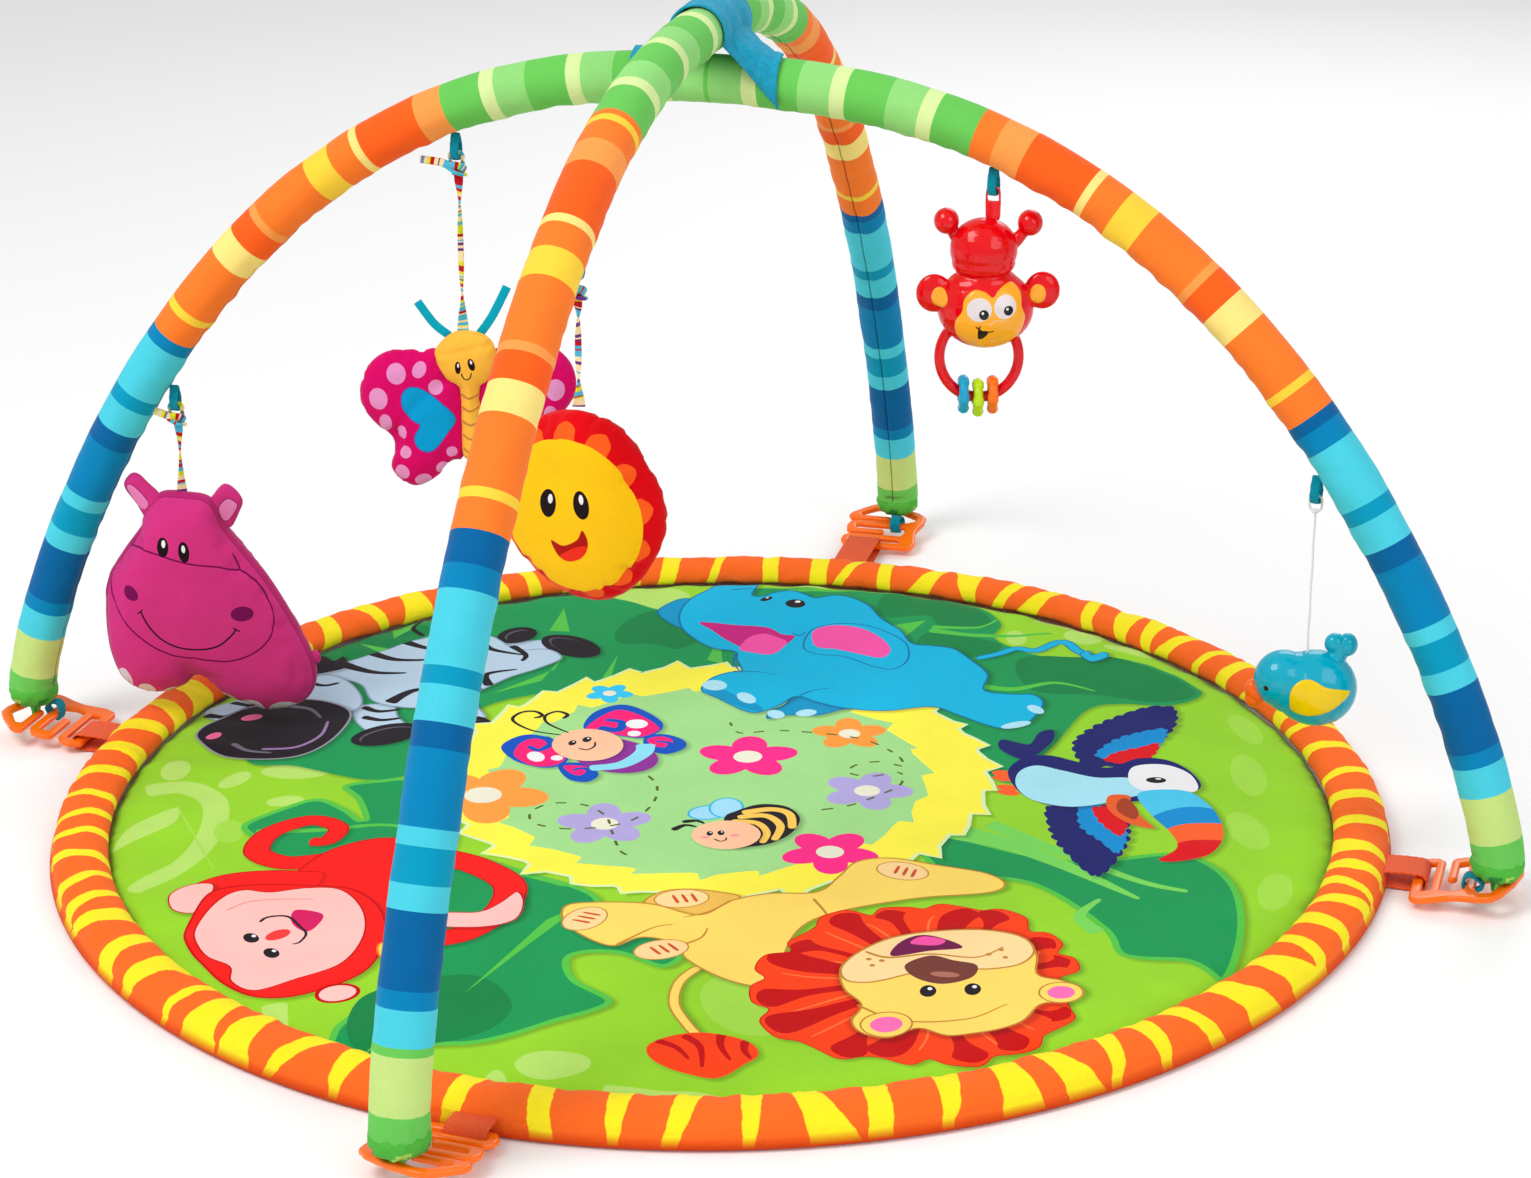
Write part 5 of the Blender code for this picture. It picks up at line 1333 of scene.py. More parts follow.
# ---------------------------------------------------------------- stuffed toys
def stuffed_by_cloth(obj, pressure, cell, limit):
    """Cloth simulation with inner pressure on an even copy of the skin; the printed skin takes over its shape."""
    even = bpy.data.objects.new("even", obj.data.copy())
    scene.collection.objects.link(even)
    remesh = even.modifiers.new("remesh", "REMESH")
    remesh.mode, remesh.voxel_size = "VOXEL", cell
    bpy.context.view_layer.update()
    mesh = bpy.data.meshes.new_from_object(even.evaluated_get(bpy.context.evaluated_depsgraph_get()))
    even.modifiers.clear()
    even.data = mesh
    start = [v.co.copy() for v in mesh.vertices]
    cloth_sim = even.modifiers.new("cloth", "CLOTH")
    settings = cloth_sim.settings
    settings.quality, settings.mass = 6, 0.12
    settings.tension_stiffness = settings.compression_stiffness = 24
    settings.shear_stiffness, settings.bending_stiffness = 12, 0.25
    settings.use_pressure, settings.uniform_pressure_force = True, pressure
    settings.shrink_min = -0.05
    settings.effector_weights.gravity = 0
    cloth_sim.point_cache.frame_start, cloth_sim.point_cache.frame_end = 1, 20
    for frame_number in range(1, 21):
        scene.frame_set(frame_number)
    bpy.context.view_layer.update()
    final = even.evaluated_get(bpy.context.evaluated_depsgraph_get()).data
    end = [v.co.copy() for v in final.vertices]
    tree = BVHTree.FromPolygons(start, [tuple(p.vertices) for p in mesh.polygons])
    moves = []
    for vertex in obj.data.vertices:
        spot, _, face, _ = tree.find_nearest(vertex.co)
        corners = mesh.polygons[face].vertices
        weights = [1 / ((start[c] - spot).length + 1e-5) ** 2 for c in corners]
        move = sum(((end[c] - start[c]) * w for c, w in zip(corners, weights)), Vector()) / sum(weights)
        moves.append(move * min(1.0, limit / max(move.length, 1e-9)))
    for vertex, move in zip(obj.data.vertices, moves):
        vertex.co += move
    scene.frame_set(1)
    bpy.data.objects.remove(even, do_unlink=True)


def plush(name, outline, regions, base, back, place, depth, rounding, material, body, nodes,
          gusset=0.0,
          spacing=2.4, pucker=0.5, ahead=0.0, mirror_back=False, creases=()):
    """Stuffed shape: printed front, plain or printed back and a side strip, with puckers along the seams."""
    flat, triangles, colours = printed(outline, regions, base, spacing)
    reach = edge_distance(outline, flat)
    closed = np.array([(p[0], p[1]) for p in outline])
    border = [i for i in range(len(flat)) if reach[i] < 0.05]
    middle = closed.mean(0)

    def position(i):
        d = np.hypot(*(closed - flat[i]).T)
        return int(np.argmin(d))

    border.sort(key=lambda i: (position(i), np.hypot(*(flat[i] - closed[position(i)]))))
    swell = []
    for (x, y), e in zip(flat, reach):
        share = min(e / rounding, 1.0)
        dome = math.sqrt(max(0.0, 1 - (1 - share) ** 2)) * depth
        turn = math.atan2(y - middle[1], x - middle[0])
        crimp = math.sin(turn * 31 + 3 * noise.noise(Vector((x, y,
                                                             4)) / 12)) * math.exp(-e / 5) * min(e / 2, 1) * pucker
        soft = noise.noise(Vector((x, y,
                                   11)) / 22) * 0.9 * share + noise.noise(Vector((x, y, 3)) / 9) * 0.25 * share
        for line, width, drop in creases:
            distance = min((Vector((x, y)) - Vector(p)).length for p in line)
            soft -= drop * math.exp(-(distance / width) ** 2)
        swell.append(dome + crimp + soft * pucker * 1.6)
    half = gusset / 2
    verts = [place(x, y, s + half + ahead) for (x, y), s in zip(flat, swell)]
    count = len(flat)
    back_index, faces, tints = {}, [], []
    edge_set = set(border)
    for i, ((x, y), s) in enumerate(zip(flat, swell)):
        if i in edge_set and gusset == 0:
            back_index[i] = i
        else:
            back_index[i] = len(verts)
            verts.append(place(x, y, -s - half + ahead))
    for (a, b, c), colour in zip(triangles, colours):
        (ax, ay), (bx, by), (cx, cy) = flat[a], flat[b], flat[c]
        if (bx - ax) * (cy - ay) - (by - ay) * (cx - ax) < 0:
            b, c = c, b
        faces.append((a, b, c))
        tints.append(tuple(colour))
        faces.append((back_index[a], back_index[c], back_index[b]))
        tints.append(tuple(colour) if mirror_back else back)
    if gusset > 0:
        edge_count = {}
        for a, b, c in triangles:
            for e in ((a, b), (b, c), (c, a)):
                key = tuple(sorted(e))
                edge_count[key] = edge_count.get(key, 0) + 1
        # painted shade: the side strip's rows next to the front and back seams are darkened to 55% of the back colour
        seam = tuple(c * 0.55 for c in back)
        done = {}
        for (a, b), uses in edge_count.items():
            if uses != 1:
                continue
            ring = []
            for i in (a, b):
                if i not in done:
                    x, y = flat[i]
                    away = Vector((x - middle[0], y - middle[1])).normalized() * 1.6
                    rows = []
                    for share, out in ((0.94, 0.15), (0.55, 1.0), (0.0, 1.3), (-0.55, 1.0), (-0.94, 0.15)):
                        rows.append(len(verts))
                        verts.append(place(x + away.x * out, y + away.y * out, half * share + ahead))
                    done[i] = [i] + rows + [back_index[i]]
                ring.append(done[i])
            for k in range(6):
                faces.append((ring[0][k], ring[0][k + 1], ring[1][k + 1], ring[1][k]))
                tints.append(seam if k in (0, 5) else back)
    piece = make(name, verts, faces, material, body, nodes, tints)
    work = bmesh.new()
    work.from_mesh(piece.data)
    bmesh.ops.recalc_face_normals(work, faces=work.faces)
    work.to_mesh(piece.data)
    work.free()
    return piece


def moved_list(points, dx, dy):
    """Points moved by dx, dy."""
    return [(x + dx, y + dy) for x, y in points]


plush_print = cloth("plush_print", grain=0.0009, depth=0.00012, mottle=0.07, sheen=0.15, crease=0.0006)

# hippo
PINK, PLUM, BLACK, GLINT, PALE_PINK, NAIL = (rgb(210, 50, 130), rgb(116, 8, 84), rgb(28, 12, 20),
                                             rgb(240, 236, 240),
                                            rgb(232, 132, 188), rgb(222, 208, 226))
body_line = smooth(moved_list([(-13, 0), (6, 0), (20, -4), (31, -20), (43, -36), (58, -56), (72, -80),
                               (84, -106),
                               (87, -124), (81, -139), (66, -147), (44, -148), (24, -142), (10, -131),
                               (1, -128),
                               (-8, -134), (-24, -138), (-41, -135), (-54, -124), (-60, -102), (-61, -80),
                               (-57, -58), (-47, -40), (-33, -22), (-24, -9)], 4, -64.3), True, 2.5)
eyes = [(BLACK, oval(-7, -93.7, 4.0, 6.6, -4, 1.2)), (GLINT, oval(-6.4, -91.4, 1.4, 2.6, -4, 0.8)),
        (BLACK, oval(7.4, -96.8, 3.7, 7.0, 4, 1.2)), (GLINT, oval(7.2, -94.6, 1.3, 2.6, 4, 0.8))]
muzzle_loop = smooth(moved_list([(-39, -30), (-49, -38), (-53, -50), (-52.6, -62), (-46.6, -74),
                                 (-35.6, -88),
                                 (-21.6, -99), (-5.6, -106), (14, -108.6), (32, -108.4), (48, -102.4),
                                 (59, -92.4),
                                 (63.4, -80), (61.4, -68), (54.4, -55.4), (43.4, -45.4)], 4, -64.3), False,
                     2.0)
hippo_print = [(PLUM, stroke(muzzle_loop, 1.2, 1.2, 2.0)),
               (PLUM, stroke(moved_list([(-39, -30), (-29.6, -30.4), (-13.6, -34.8), (6.4, -40.4),
                                         (26.4, -43),
                                         (43.4, -45.4)], 4, -64.3), 1.2, 1.2, 2.0)),
               (PLUM, stroke(moved_list([(-39, -30), (-33, -20)], 4, -64.3), 1.3, 1.0, 2.0)),
               (PLUM, stroke(moved_list([(43.4, -45.4), (38, -34)], 4, -64.3), 1.3, 1.0, 2.0)),
               (PLUM, oval(-32, -125.3, 6.2, 4.4, -40, 1.5)), (PLUM, oval(44.8, -139.7, 8, 5.1, 4, 1.5)),
               (BLACK, stroke(moved_list([(-29.6, -73.4), (-25.6, -82.4), (-17.6, -92.4), (-5.6, -98.8),
                                          (8.4, -100.8),
                                          (22.4, -98), (32.4, -90.4), (36, -86)], 4, -64.3), 1.2, 1.2,
                              2.0)),
               (BLACK, stroke(moved_list([(-32, -75), (-28, -72)], 4, -64.3), 1.1, 0.8, 1.0)),
               (BLACK, stroke(moved_list([(34, -85), (39, -87.6)], 4, -64.3), 1.1, 0.8, 1.0))]
for x, y, rx, ry in ((-50, -124, 5.6, 9), (-36, -134, 6.6, 7), (-18, -138.5, 8, 5), (26, -144.5, 9, 7),
                     (45, -147, 9, 9), (67, -146, 10, 7.5)):
    hippo_print.append((NAIL, oval(x + 4, y - 64.3, rx, ry, 0, 1.5), body_line))
hippo_print += eyes
hippo_base = facing(HANGS["hippo"][0], 0.0, 1.0, TALL)
hippo_place = lambda x, y, d=0.0: hippo_base(x - 4, y, d)
hippo = plush("hippo_plush", body_line, hippo_print, PINK, rgb(186, 34, 112), hippo_place, 13.5, 38,
              plush_print,
              "hippo", ("hippo_body",), gusset=13, spacing=2.8, pucker=0.7)
stuffed_by_cloth(hippo, 3.0, 0.0042, 0.0035)
for side, outer, inner, lift in (
        ("left", [(-13, -3), (-16, 4), (-21.6, 9.6), (-28.6, 16.6), (-34, 17), (-39, 11.6), (-39, 6),
                  (-32, -4),
                  (-27, -13), (-20, -14)],
         [(-37.2, 8.4), (-33.6, 9.6), (-28, 4.4), (-23, -2.4), (-24.4, -6.4), (-27.6, -7.4), (-33.4, -0.8)],
         3.0),
        ("right", [(17, -8), (22, 1), (29.4, 8), (36.4, 5.2), (42, -3.4), (39, -12), (33, -22), (26, -22)],
         [(25.6, -7.8), (31.4, -1.8), (36.4, -3.4), (38.2, -7.4), (31.4, -16.4), (27, -15)], -2.0)):
    ear_line = smooth(moved_list(outer, 4, -64.3), True, 1.6)
    ear = plush(f"hippo_ear_{side}", ear_line,
                [(PLUM, inset(smooth(moved_list(inner, 4, -64.3), True, 1.4), -0.5)),
                                               (PALE_PINK, smooth(moved_list(inner, 4, -64.3), True, 1.4))],
                PINK, rgb(186, 34, 112), hippo_place, 3.4, 6, plush_print, "hippo", (),
                spacing=1.8,
                pucker=0.3, ahead=lift, creases=((smooth(moved_list(inner, 4, -64.3), True, 3.0), 1.0, 0.6),
                                                 ))
tail = plush("hippo_tail",
             smooth([(88, -176), (92, -174), (95, -178), (94, -183), (89, -184), (84, -182)], True, 1.2),
             [], PINK, PINK, hippo_place, 2.0, 4, plush_print, "hippo", (), spacing=1.5,
             pucker=0.1)
toy_strap("hippo", 68.5, 0.6)

# butterfly
MAGENTA, DOT, HEART, HEART_LINE, AMBER, BROWN = (rgb(216, 0, 104), rgb(230, 148, 206), rgb(0, 158, 218),
                                                rgb(0, 100, 190), rgb(255, 190, 66), rgb(208, 134, 62))
butterfly_place = facing(HANGS["butterfly"][0], 0.0, 1.0, TALL)
low = -116.3
wing = [(-17, -14), (-30, -13.4), (-44, -13), (-57, -17), (-67, -26), (-72, -37), (-72, -49), (-65, -61),
        (-54, -73),
        (-51.5, -82), (-52, -93), (-44, -102), (-33, -104), (-20, -97), (-10, -87), (-3, -84), (-1, -60),
        (-2, -36),
        (-8, -28)]
dots = ((-46, -28, 6.4, 6.8, 0), (-30.6, -25.4, 4.4, 5.6, -35), (-59, -44, 6.3, 7.0, 0),
        (-20, -37, 5.0, 5.0, 0),
        (-56, -60, 4.5, 6.0, -12), (-45, -67, 4.2, 4.4, 0), (-42, -80, 4.3, 4.3, 0),
        (-10.5, -79.6, 3.7, 3.7, 0),
        (-44, -94, 5.0, 5.0, 0), (-17, -91, 4.7, 4.1, 15), (-30, -99, 5.6, 4.4, 8))
heart = [(-8, -57.7), (-18.8, -46), (-29, -38.6), (-37, -37), (-42.4, -41.4), (-42.7, -50), (-37, -58),
         (-31, -62),
         (-35, -69.6), (-33.4, -76), (-28, -78.8), (-21.8, -77), (-13.6, -66.8)]
for side, sign, lift in (("left", 1, 0.0), ("right", -1, 7.0)):
    shift = 0.0 if sign == 1 else 2.5
    turned_point = lambda x, y: (sign * x + shift, low + y + lift * max(-x - 8, 0) / 64)
    wing_line = smooth([turned_point(x, y) for x, y in wing], True, 2.2)
    heart_line = smooth([turned_point(x, y) for x, y in heart], True, 1.8)
    regions = [(DOT, oval(*turned_point(x, y), rx, ry, sign * turn, 1.6)) for x, y, rx, ry, turn in dots]
    regions += [(HEART_LINE, inset(heart_line, -0.6)), (HEART, heart_line)]
    piece = plush(f"wing_{side}", wing_line, regions, MAGENTA, rgb(196, 0, 92), butterfly_place, 5.4, 16,
                  plush_print,
                  "butterfly", (f"butterfly_wing_{side}",), spacing=2.2, pucker=0.8,
                  ahead=-1.5,
                  creases=((smooth([turned_point(-10, -30), turned_point(-30, -46), turned_point(-52, -68)],
                                   False,
                                   4.0), 4.0, 0.9),))
    stuffed_by_cloth(piece, 2.0, 0.0034, 0.0025)
body = smooth(moved_list([(-4, 0), (7, 0), (17, -4), (22, -13), (21, -24), (15, -34), (10, -39), (11, -60),
                          (11.5, -84),
                          (5, -86.5), (-3, -84), (-3.5, -60), (-4, -39), (-12, -33), (-18, -24), (-20, -14),
                          (-13, -5)],
                         0, low), True, 1.8)
regions = [(BROWN, stroke(moved_list([(-2.6, y + 1.8), (1, y), (4.5, y - 0.4), (9.6, y + 1.6)], 0, low),
                          1.9, 1.2, 1.4))
           for y in (-43, -51.5, -61, -70.4, -79.6)]
regions += [(BLACK, oval(-3.5, -22.3 + low, 2.0, 4.2, 0, 0.9)),
            (GLINT, oval(-3.2, -20.7 + low, 0.7, 1.4, 0, 0.5)),
            (BLACK, oval(5.8, -20.2 + low, 2.3, 4.2, 16, 0.9)),
            (GLINT, oval(5.6, -18.6 + low, 0.8, 1.4, 16, 0.5)),
            (BLACK, stroke(moved_list([(-1.3, -26), (-0.2, -29), (2, -30.4), (4.6, -29), (5.6, -25.4)], 0,
                                      low), 0.9,
                           0.8, 0.8))]
piece = plush("butterfly_plush", body, regions, AMBER, rgb(246, 174, 50), butterfly_place, 8.5, 14,
              plush_print,
              "butterfly", ("butterfly_body",), spacing=1.9, pucker=0.6, ahead=1.0,
              creases=((smooth(moved_list([(-17, -15), (-2, -12), (18, -8)], 0, low), False, 2.0), 1.6,
                        1.6),))
tape_teal = cloth("antenna_tape", rgb(0, 168, 196), grain=0.0005, sheen=0.2, mottle=0.08)
parts = []
for path in ([(-10, -4), (-20, 4), (-30.6, 18.4)], [(11, -3), (20, 9), (30.6, 28.2)]):
    line = smooth([butterfly_place(x, y + low, -2.7) for x, y in path], False, 0.0015)
    verts, faces = ribbon(line, 0.0060, 0.0010, VIEW_RIGHT, soft=0.05)
    parts.append((verts, faces, []))
verts, faces, _ = joined(parts)
make("butterfly_antennae", verts, faces, tape_teal, "butterfly", ("butterfly_feelers",))
toy_strap("butterfly", 123.8, -0.8)

# sun
sun_place = facing(HANGS["sun"][0], math.radians(-30), 1.03, TALL)
low = -76.3
RED, PETAL, GOLDEN, LIPS, TONGUE = rgb(222, 0, 14), rgb(255, 96,
                                                        28), rgb(255, 200, 16), rgb(176, 16, 8), rgb(238, 44, 20)
round_line = [Vector((58 * (1 + 0.012 * math.sin(5 * a)) * math.sin(a), low - 58 + 58 * math.cos(a)))
              for a in (math.tau * i / 110 for i in range(110))]
sun_face = oval(1.5, low - 60.5, 47.5, 44.5, 0, 2.2)
regions = []
for i in range(13):
    a = math.radians(93 - 360 / 13 * i)
    aim = Vector((math.cos(a) * 1.03, math.sin(a)))
    root, tip = Vector((0, low - 61)) + aim * 30, Vector((0, low - 59)) + aim * 46
    side = Vector((-aim.y, aim.x)).normalized()
    petal = [root - side * 5.5, tip - side * 7.2, tip + aim * 4.6 - side * 5.4, tip + aim * 7 - side * 1.5,
             tip + aim * 7 + side * 1.5, tip + aim * 4.6 + side * 5.4, tip + side * 7.2, root + side * 5.5]
    regions.append((PETAL, smooth(petal, True, 1.8)))
mouth = smooth(moved_list([(-11.8, -76.4), (-3.4, -78), (6.4, -73), (10.4, -66.6), (13.8, -72), (13.2, -78),
                           (8.6, -83.5), (0.6, -86.6), (-6.8, -84.4)], 0, low + 0), True, 1.4)
mouth = [Vector((p.x, p.y + 0.0)) for p in mouth]
regions += [(GOLDEN, sun_face), (LIPS, mouth),
            (TONGUE, smooth(moved_list([(-5.4, -85), (0, -80.4), (8, -76.4), (13.6, -76), (12, -81),
                                        (4, -86)], 0, low),
                            True, 1.4), mouth),
            (BLACK, oval(-12.6, low - 54.6, 5.4, 8.3, -8, 1.4)),
            (GLINT, oval(-11, low - 51.8, 1.6, 2.8, -8, 0.8)),
            (BLACK, oval(10, low - 52, 5.4, 8.1, 10, 1.4)),
            (GLINT, oval(10, low - 48.8, 1.6, 2.8, 10, 0.8))]
sun = plush("sun_plush", round_line, regions, RED, rgb(206, 0, 10), sun_place, 12.5, 34, plush_print, "sun",
            ("sun_body",), spacing=2.4, pucker=0.8)
stuffed_by_cloth(sun, 3.0, 0.0038, 0.003)
toy_strap("sun", 81.3, 0.0)

# ---------------------------------------------------------------- moulded toys
def fused(parts, cell, passes, name):
    """One smooth skin round overlapping closed solids."""
    mesh = bpy.data.meshes.new(name)
    verts, faces, _ = joined([(v, f, []) for v, f in parts])
    mesh.from_pydata([tuple(v) for v in verts], [], faces)
    shape = bpy.data.objects.new(name, mesh)
    scene.collection.objects.link(shape)
    remesh = shape.modifiers.new("remesh", "REMESH")
    remesh.mode, remesh.voxel_size = "VOXEL", cell
    if passes:
        relax = shape.modifiers.new("relax", "SMOOTH")
        relax.factor, relax.iterations = 0.5, passes
    bpy.context.view_layer.update()
    skin = bpy.data.meshes.new_from_object(shape.evaluated_get(bpy.context.evaluated_depsgraph_get()))
    bpy.data.objects.remove(shape, do_unlink=True)
    result = [v.co.copy() for v in skin.vertices], [tuple(p.vertices) for p in skin.polygons]
    bpy.data.meshes.remove(skin)
    return result


def egg(place, x, y, d, rx, ry, rd, taper=0.0, turn=0.0, around=28, along=18):
    """Egg in a toy's own millimetres; taper narrows it towards its right end."""
    spin = Matrix.Rotation(math.radians(turn), 2)
    rings = []
    for i in range(1, along):
        a = math.pi * i / along
        ring = []
        for j in range(around):
            b = math.tau * j / around
            narrow = 1 - taper * math.cos(a)
            flat = spin @ Vector((rx * math.cos(a), ry * math.sin(a) * math.cos(b) * narrow))
            ring.append(place(x + flat.x, y + flat.y, d + rd * math.sin(a) * math.sin(b) * narrow))
        rings.append(ring)
    return tube_rings(rings)


def bar(points, radius, tip=None, sides=16):
    """Round bar along a path, its radius going from radius to tip."""
    tip = radius if tip is None else tip
    rings = []
    side = Vector((0.31, 0.52, 0.79))
    for i, p in enumerate(points):
        tangent = (points[min(i + 1, len(points) - 1)] - points[max(i - 1, 0)]).normalized()
        flat = (side - tangent * side.dot(tangent)).normalized()
        side = flat
        normal = tangent.cross(flat)
        r = radius + (tip - radius) * i / (len(points) - 1)
        rings.append([p + flat * (r * math.cos(a)) + normal * (r * math.sin(a))
                      for a in (math.tau * j / sides for j in range(sides))])
    return tube_rings(rings)


def over_surface(verts, faces, place, outline, regions, base, lift, spacing, wall, facing_back=False):
    """Printed plate lying on the front of a moulded skin, with a small wall down to it."""
    tree = BVHTree.FromPolygons(verts, faces)
    sign = -1 if facing_back else 1
    front = (place(0, 0, 1) - place(0, 0, 0)).normalized() * sign
    flat, triangles, colours = printed(outline, regions, base, spacing)
    reach = edge_distance(outline, flat)

    def landed(x, y, height):
        start = place(x, y, 60 * sign)
        hit = tree.ray_cast(start, -front)[0]
        return (hit if hit else place(x, y, 0)) + front * (height / 1000)

    top = [landed(x, y, lift * (0.55 + 0.45 * min(1, e / 0.7))) for (x, y), e in zip(flat, reach)]
    count = len(flat)
    edge_use = {}
    turned_faces, tints = [], []
    for (a, b, c), colour in zip(triangles, colours):
        (ax, ay), (bx, by), (cx, cy) = flat[a], flat[b], flat[c]
        if ((bx - ax) * (cy - ay) - (by - ay) * (cx - ax)) * sign < 0:
            b, c = c, b
        turned_faces.append((a, b, c))
        tints.append(tuple(colour))
        for e in ((a, b), (b, c), (c, a)):
            edge_use.setdefault(tuple(sorted(e)), []).append(e)
    all_verts, low_index = list(top), {}
    for uses in edge_use.values():
        if len(uses) != 1:
            continue
        a, b = uses[0]
        for i in (a, b):
            if i not in low_index:
                low_index[i] = len(all_verts)
                all_verts.append(landed(*flat[i], -wall))
        turned_faces.append((b, a, low_index[a], low_index[b]))
        tints.append(tuple(base))
    return all_verts, turned_faces, tints


def parting(verts, place, depth_of, amount):
    """Fine groove round a moulded toy where its two halves meet."""
    centre = sum(verts, Vector()) / len(verts)
    return [v + (centre - v).normalized() * amount * math.exp(-(depth_of(v) / 0.00045) ** 2) for v in verts]


P = facing(HANGS["monkey"][0], 0.0, 1.22, 1.28, 1.28)
handle = [P(-6 + 21.2 * math.cos(a), -88 + 21.5 * math.sin(a)) for a in
          (math.radians(140 + 260 * i / 60) for i in range(61))]
head = [egg(P, -3, -62, 0, 25.7, 20.8, 17.5), egg(P, -4.5, -52, 0, 20.5, 11, 14)]
dome = [egg(P, -4.5, -31.5, 0, 18.0, 16.0, 14.5), egg(P, -4.5, -38, 0, 17.0, 10, 13.5)]
arms = [bar(smooth([P(-13, -32, 0), P(-19, -25.5, 0), P(-23.8, -17.4, 0)], False, 0.002), 0.0049, 0.0034),
        bar(smooth([P(6, -33, 0), P(13.5, -26, 0), P(19.2, -18.4, 0)], False, 0.002), 0.0049, 0.0034),
        egg(P, -24.4, -17.0, 0, 6.7, 6.7, 6.7), egg(P, 19.7, -18.0, 0, 6.7, 6.7, 6.7)]
ears = [egg(P, -30.4, -54.5, 0, 9.7, 10.0, 3.8, 0, 0), egg(P, 27.0, -53, 0, 9.4, 9.8, 3.8, 0, 0)]
verts, faces = fused(head + dome + arms + ears + [bar(handle, 0.0035)] + [egg(P, -3, -46.5, 0, 16, 5, 12)],
                     0.00062, 4,
                     "monkey_skin")
front_axis = (P(0, 0, 1) - P(0, 0, 0)).normalized()
monkey_depth = lambda v: (v - P(0, 0, 0)).dot(front_axis)
verts = parting(verts, P, monkey_depth, 0.00028)
rattle_red = moulded("rattle_red", rgb(226, 0, 16), 0.12)
make("monkey_shell", verts, faces, rattle_red, "monkey", ("monkey_front", "monkey_back"))
shell = (verts, faces)
AMBER_FACE, WHITE, PUPIL = rgb(255, 176, 44), rgb(226, 220, 222), rgb(18, 16, 18)
face_line = smooth([(-19.6, -66), (-18.2, -74), (-10, -80.4), (-3, -81.8), (6, -80), (14, -73.5),
                    (17.2, -64.5),
                    (15.4, -58), (14.6, -51), (9.5, -46.4), (4, -48.5), (0, -52.6), (-4, -50.2),
                    (-10, -49.4),
                    (-15, -54), (-16.2, -60)], True, 1.0)
regions = [(WHITE, oval(-7.2, -58.6, 6.6, 5.9, 8, 0.9)), (WHITE, oval(6.4, -57.4, 5.9, 6.0, 0, 0.9)),
           (rgb(236, 200, 160), stroke([(-2, -66.4), (2, -64), (8, -65)], 0.6, 0.3, 0.8)),
           (PUPIL, oval(-4.8, -61.0, 2.6, 2.6, 0, 0.7)), (PUPIL, oval(8.2, -59.2, 2.5, 2.5, 0, 0.7)),
           (SNOW, oval(-5.4, -60.2, 0.7, 0.7, 0, 0.4)), (SNOW, oval(7.6, -58.4, 0.7, 0.7, 0, 0.4)),
           (PUPIL, smooth([(-7.4, -68.2), (-5.4, -69.6), (-2.2, -70.4), (-4.6, -73.8), (-7.2, -74.6),
                           (-7.8, -72)],
                          True, 0.8)),
           (PUPIL, stroke([(-9.0, -67.6), (-7, -68.2), (-6.6, -66.6)], 0.9, 0.6, 0.6)),
           (PUPIL, stroke([(-5, -69.8), (-1, -70.2), (0.8, -69.4)], 0.9, 0.5, 0.6))]
v, f, c = over_surface(*shell, P, face_line, regions, AMBER_FACE, 0.9, 1.3, 0.5)
rattle_face = moulded("rattle_face", None, 0.14)
make("monkey_face_plate", v, f, rattle_face, "monkey", ("monkey_face",), c)
for side, x, y in (("left", -27.2, -55.4), ("right", 23.8, -54.0)):
    v, f, c = over_surface(*shell, P, oval(x - (0.6 if x < 0 else -0.6), y, 4.2, 5.0, 0, 0.8), [],
                           AMBER_FACE, 0.5,
                           1.3, 0.4)
    make(f"monkey_ear_{side}", v, f, rattle_face, "monkey", (), c)

pivot, axis = Vector(HANGS["monkey"][0]), Vector(HANGS["monkey"][1])
across = axis.cross(UP)
spot = lambda s, z, d=0.0: pivot + (axis * s + UP * z + across * d) / 1000
strap_path = smooth([spot(-4.2, -19), spot(-4.4, -8.6), spot(-4.2, -3.2), spot(-3.4, -0.6), spot(0, 0.2),
                     spot(3.4, -0.6), spot(4.2, -3.2), spot(4.4, -8.6), spot(4.2, -19)], False, 0.0012)
parts = [ribbon(strap_path, 0.0034, 0.0011, across, sides=16),
         ribbon(smooth([spot(-5, -9.4), spot(0, -9.8), spot(5, -9.4)], False, 0.001), 0.0030, 0.0022,
                across, sides=16),
         ribbon(smooth([spot(0, -9.5), spot(0.2, -13), spot(0, -21)], False, 0.001), 0.0092, 0.0030, axis,
                sides=16)]
verts, faces = fused(parts, 0.00045, 3, "clip_skin")
make("monkey_strap_clip", verts, faces, rattle_red, "monkey", ("monkey_clip",))
bead_white = moulded("bead_white", rgb(232, 232, 228), 0.2)
for i, (x, y) in enumerate(((-9, -72), (4, -71.5))):
    verts, faces = egg(P, x, y, 0, 2.8, 2.7, 2.8, 0, 0, 20, 12)
    make(f"bead_{i + 1}", verts, faces, bead_white, "monkey", (f"monkey_bead_{i + 1}",))
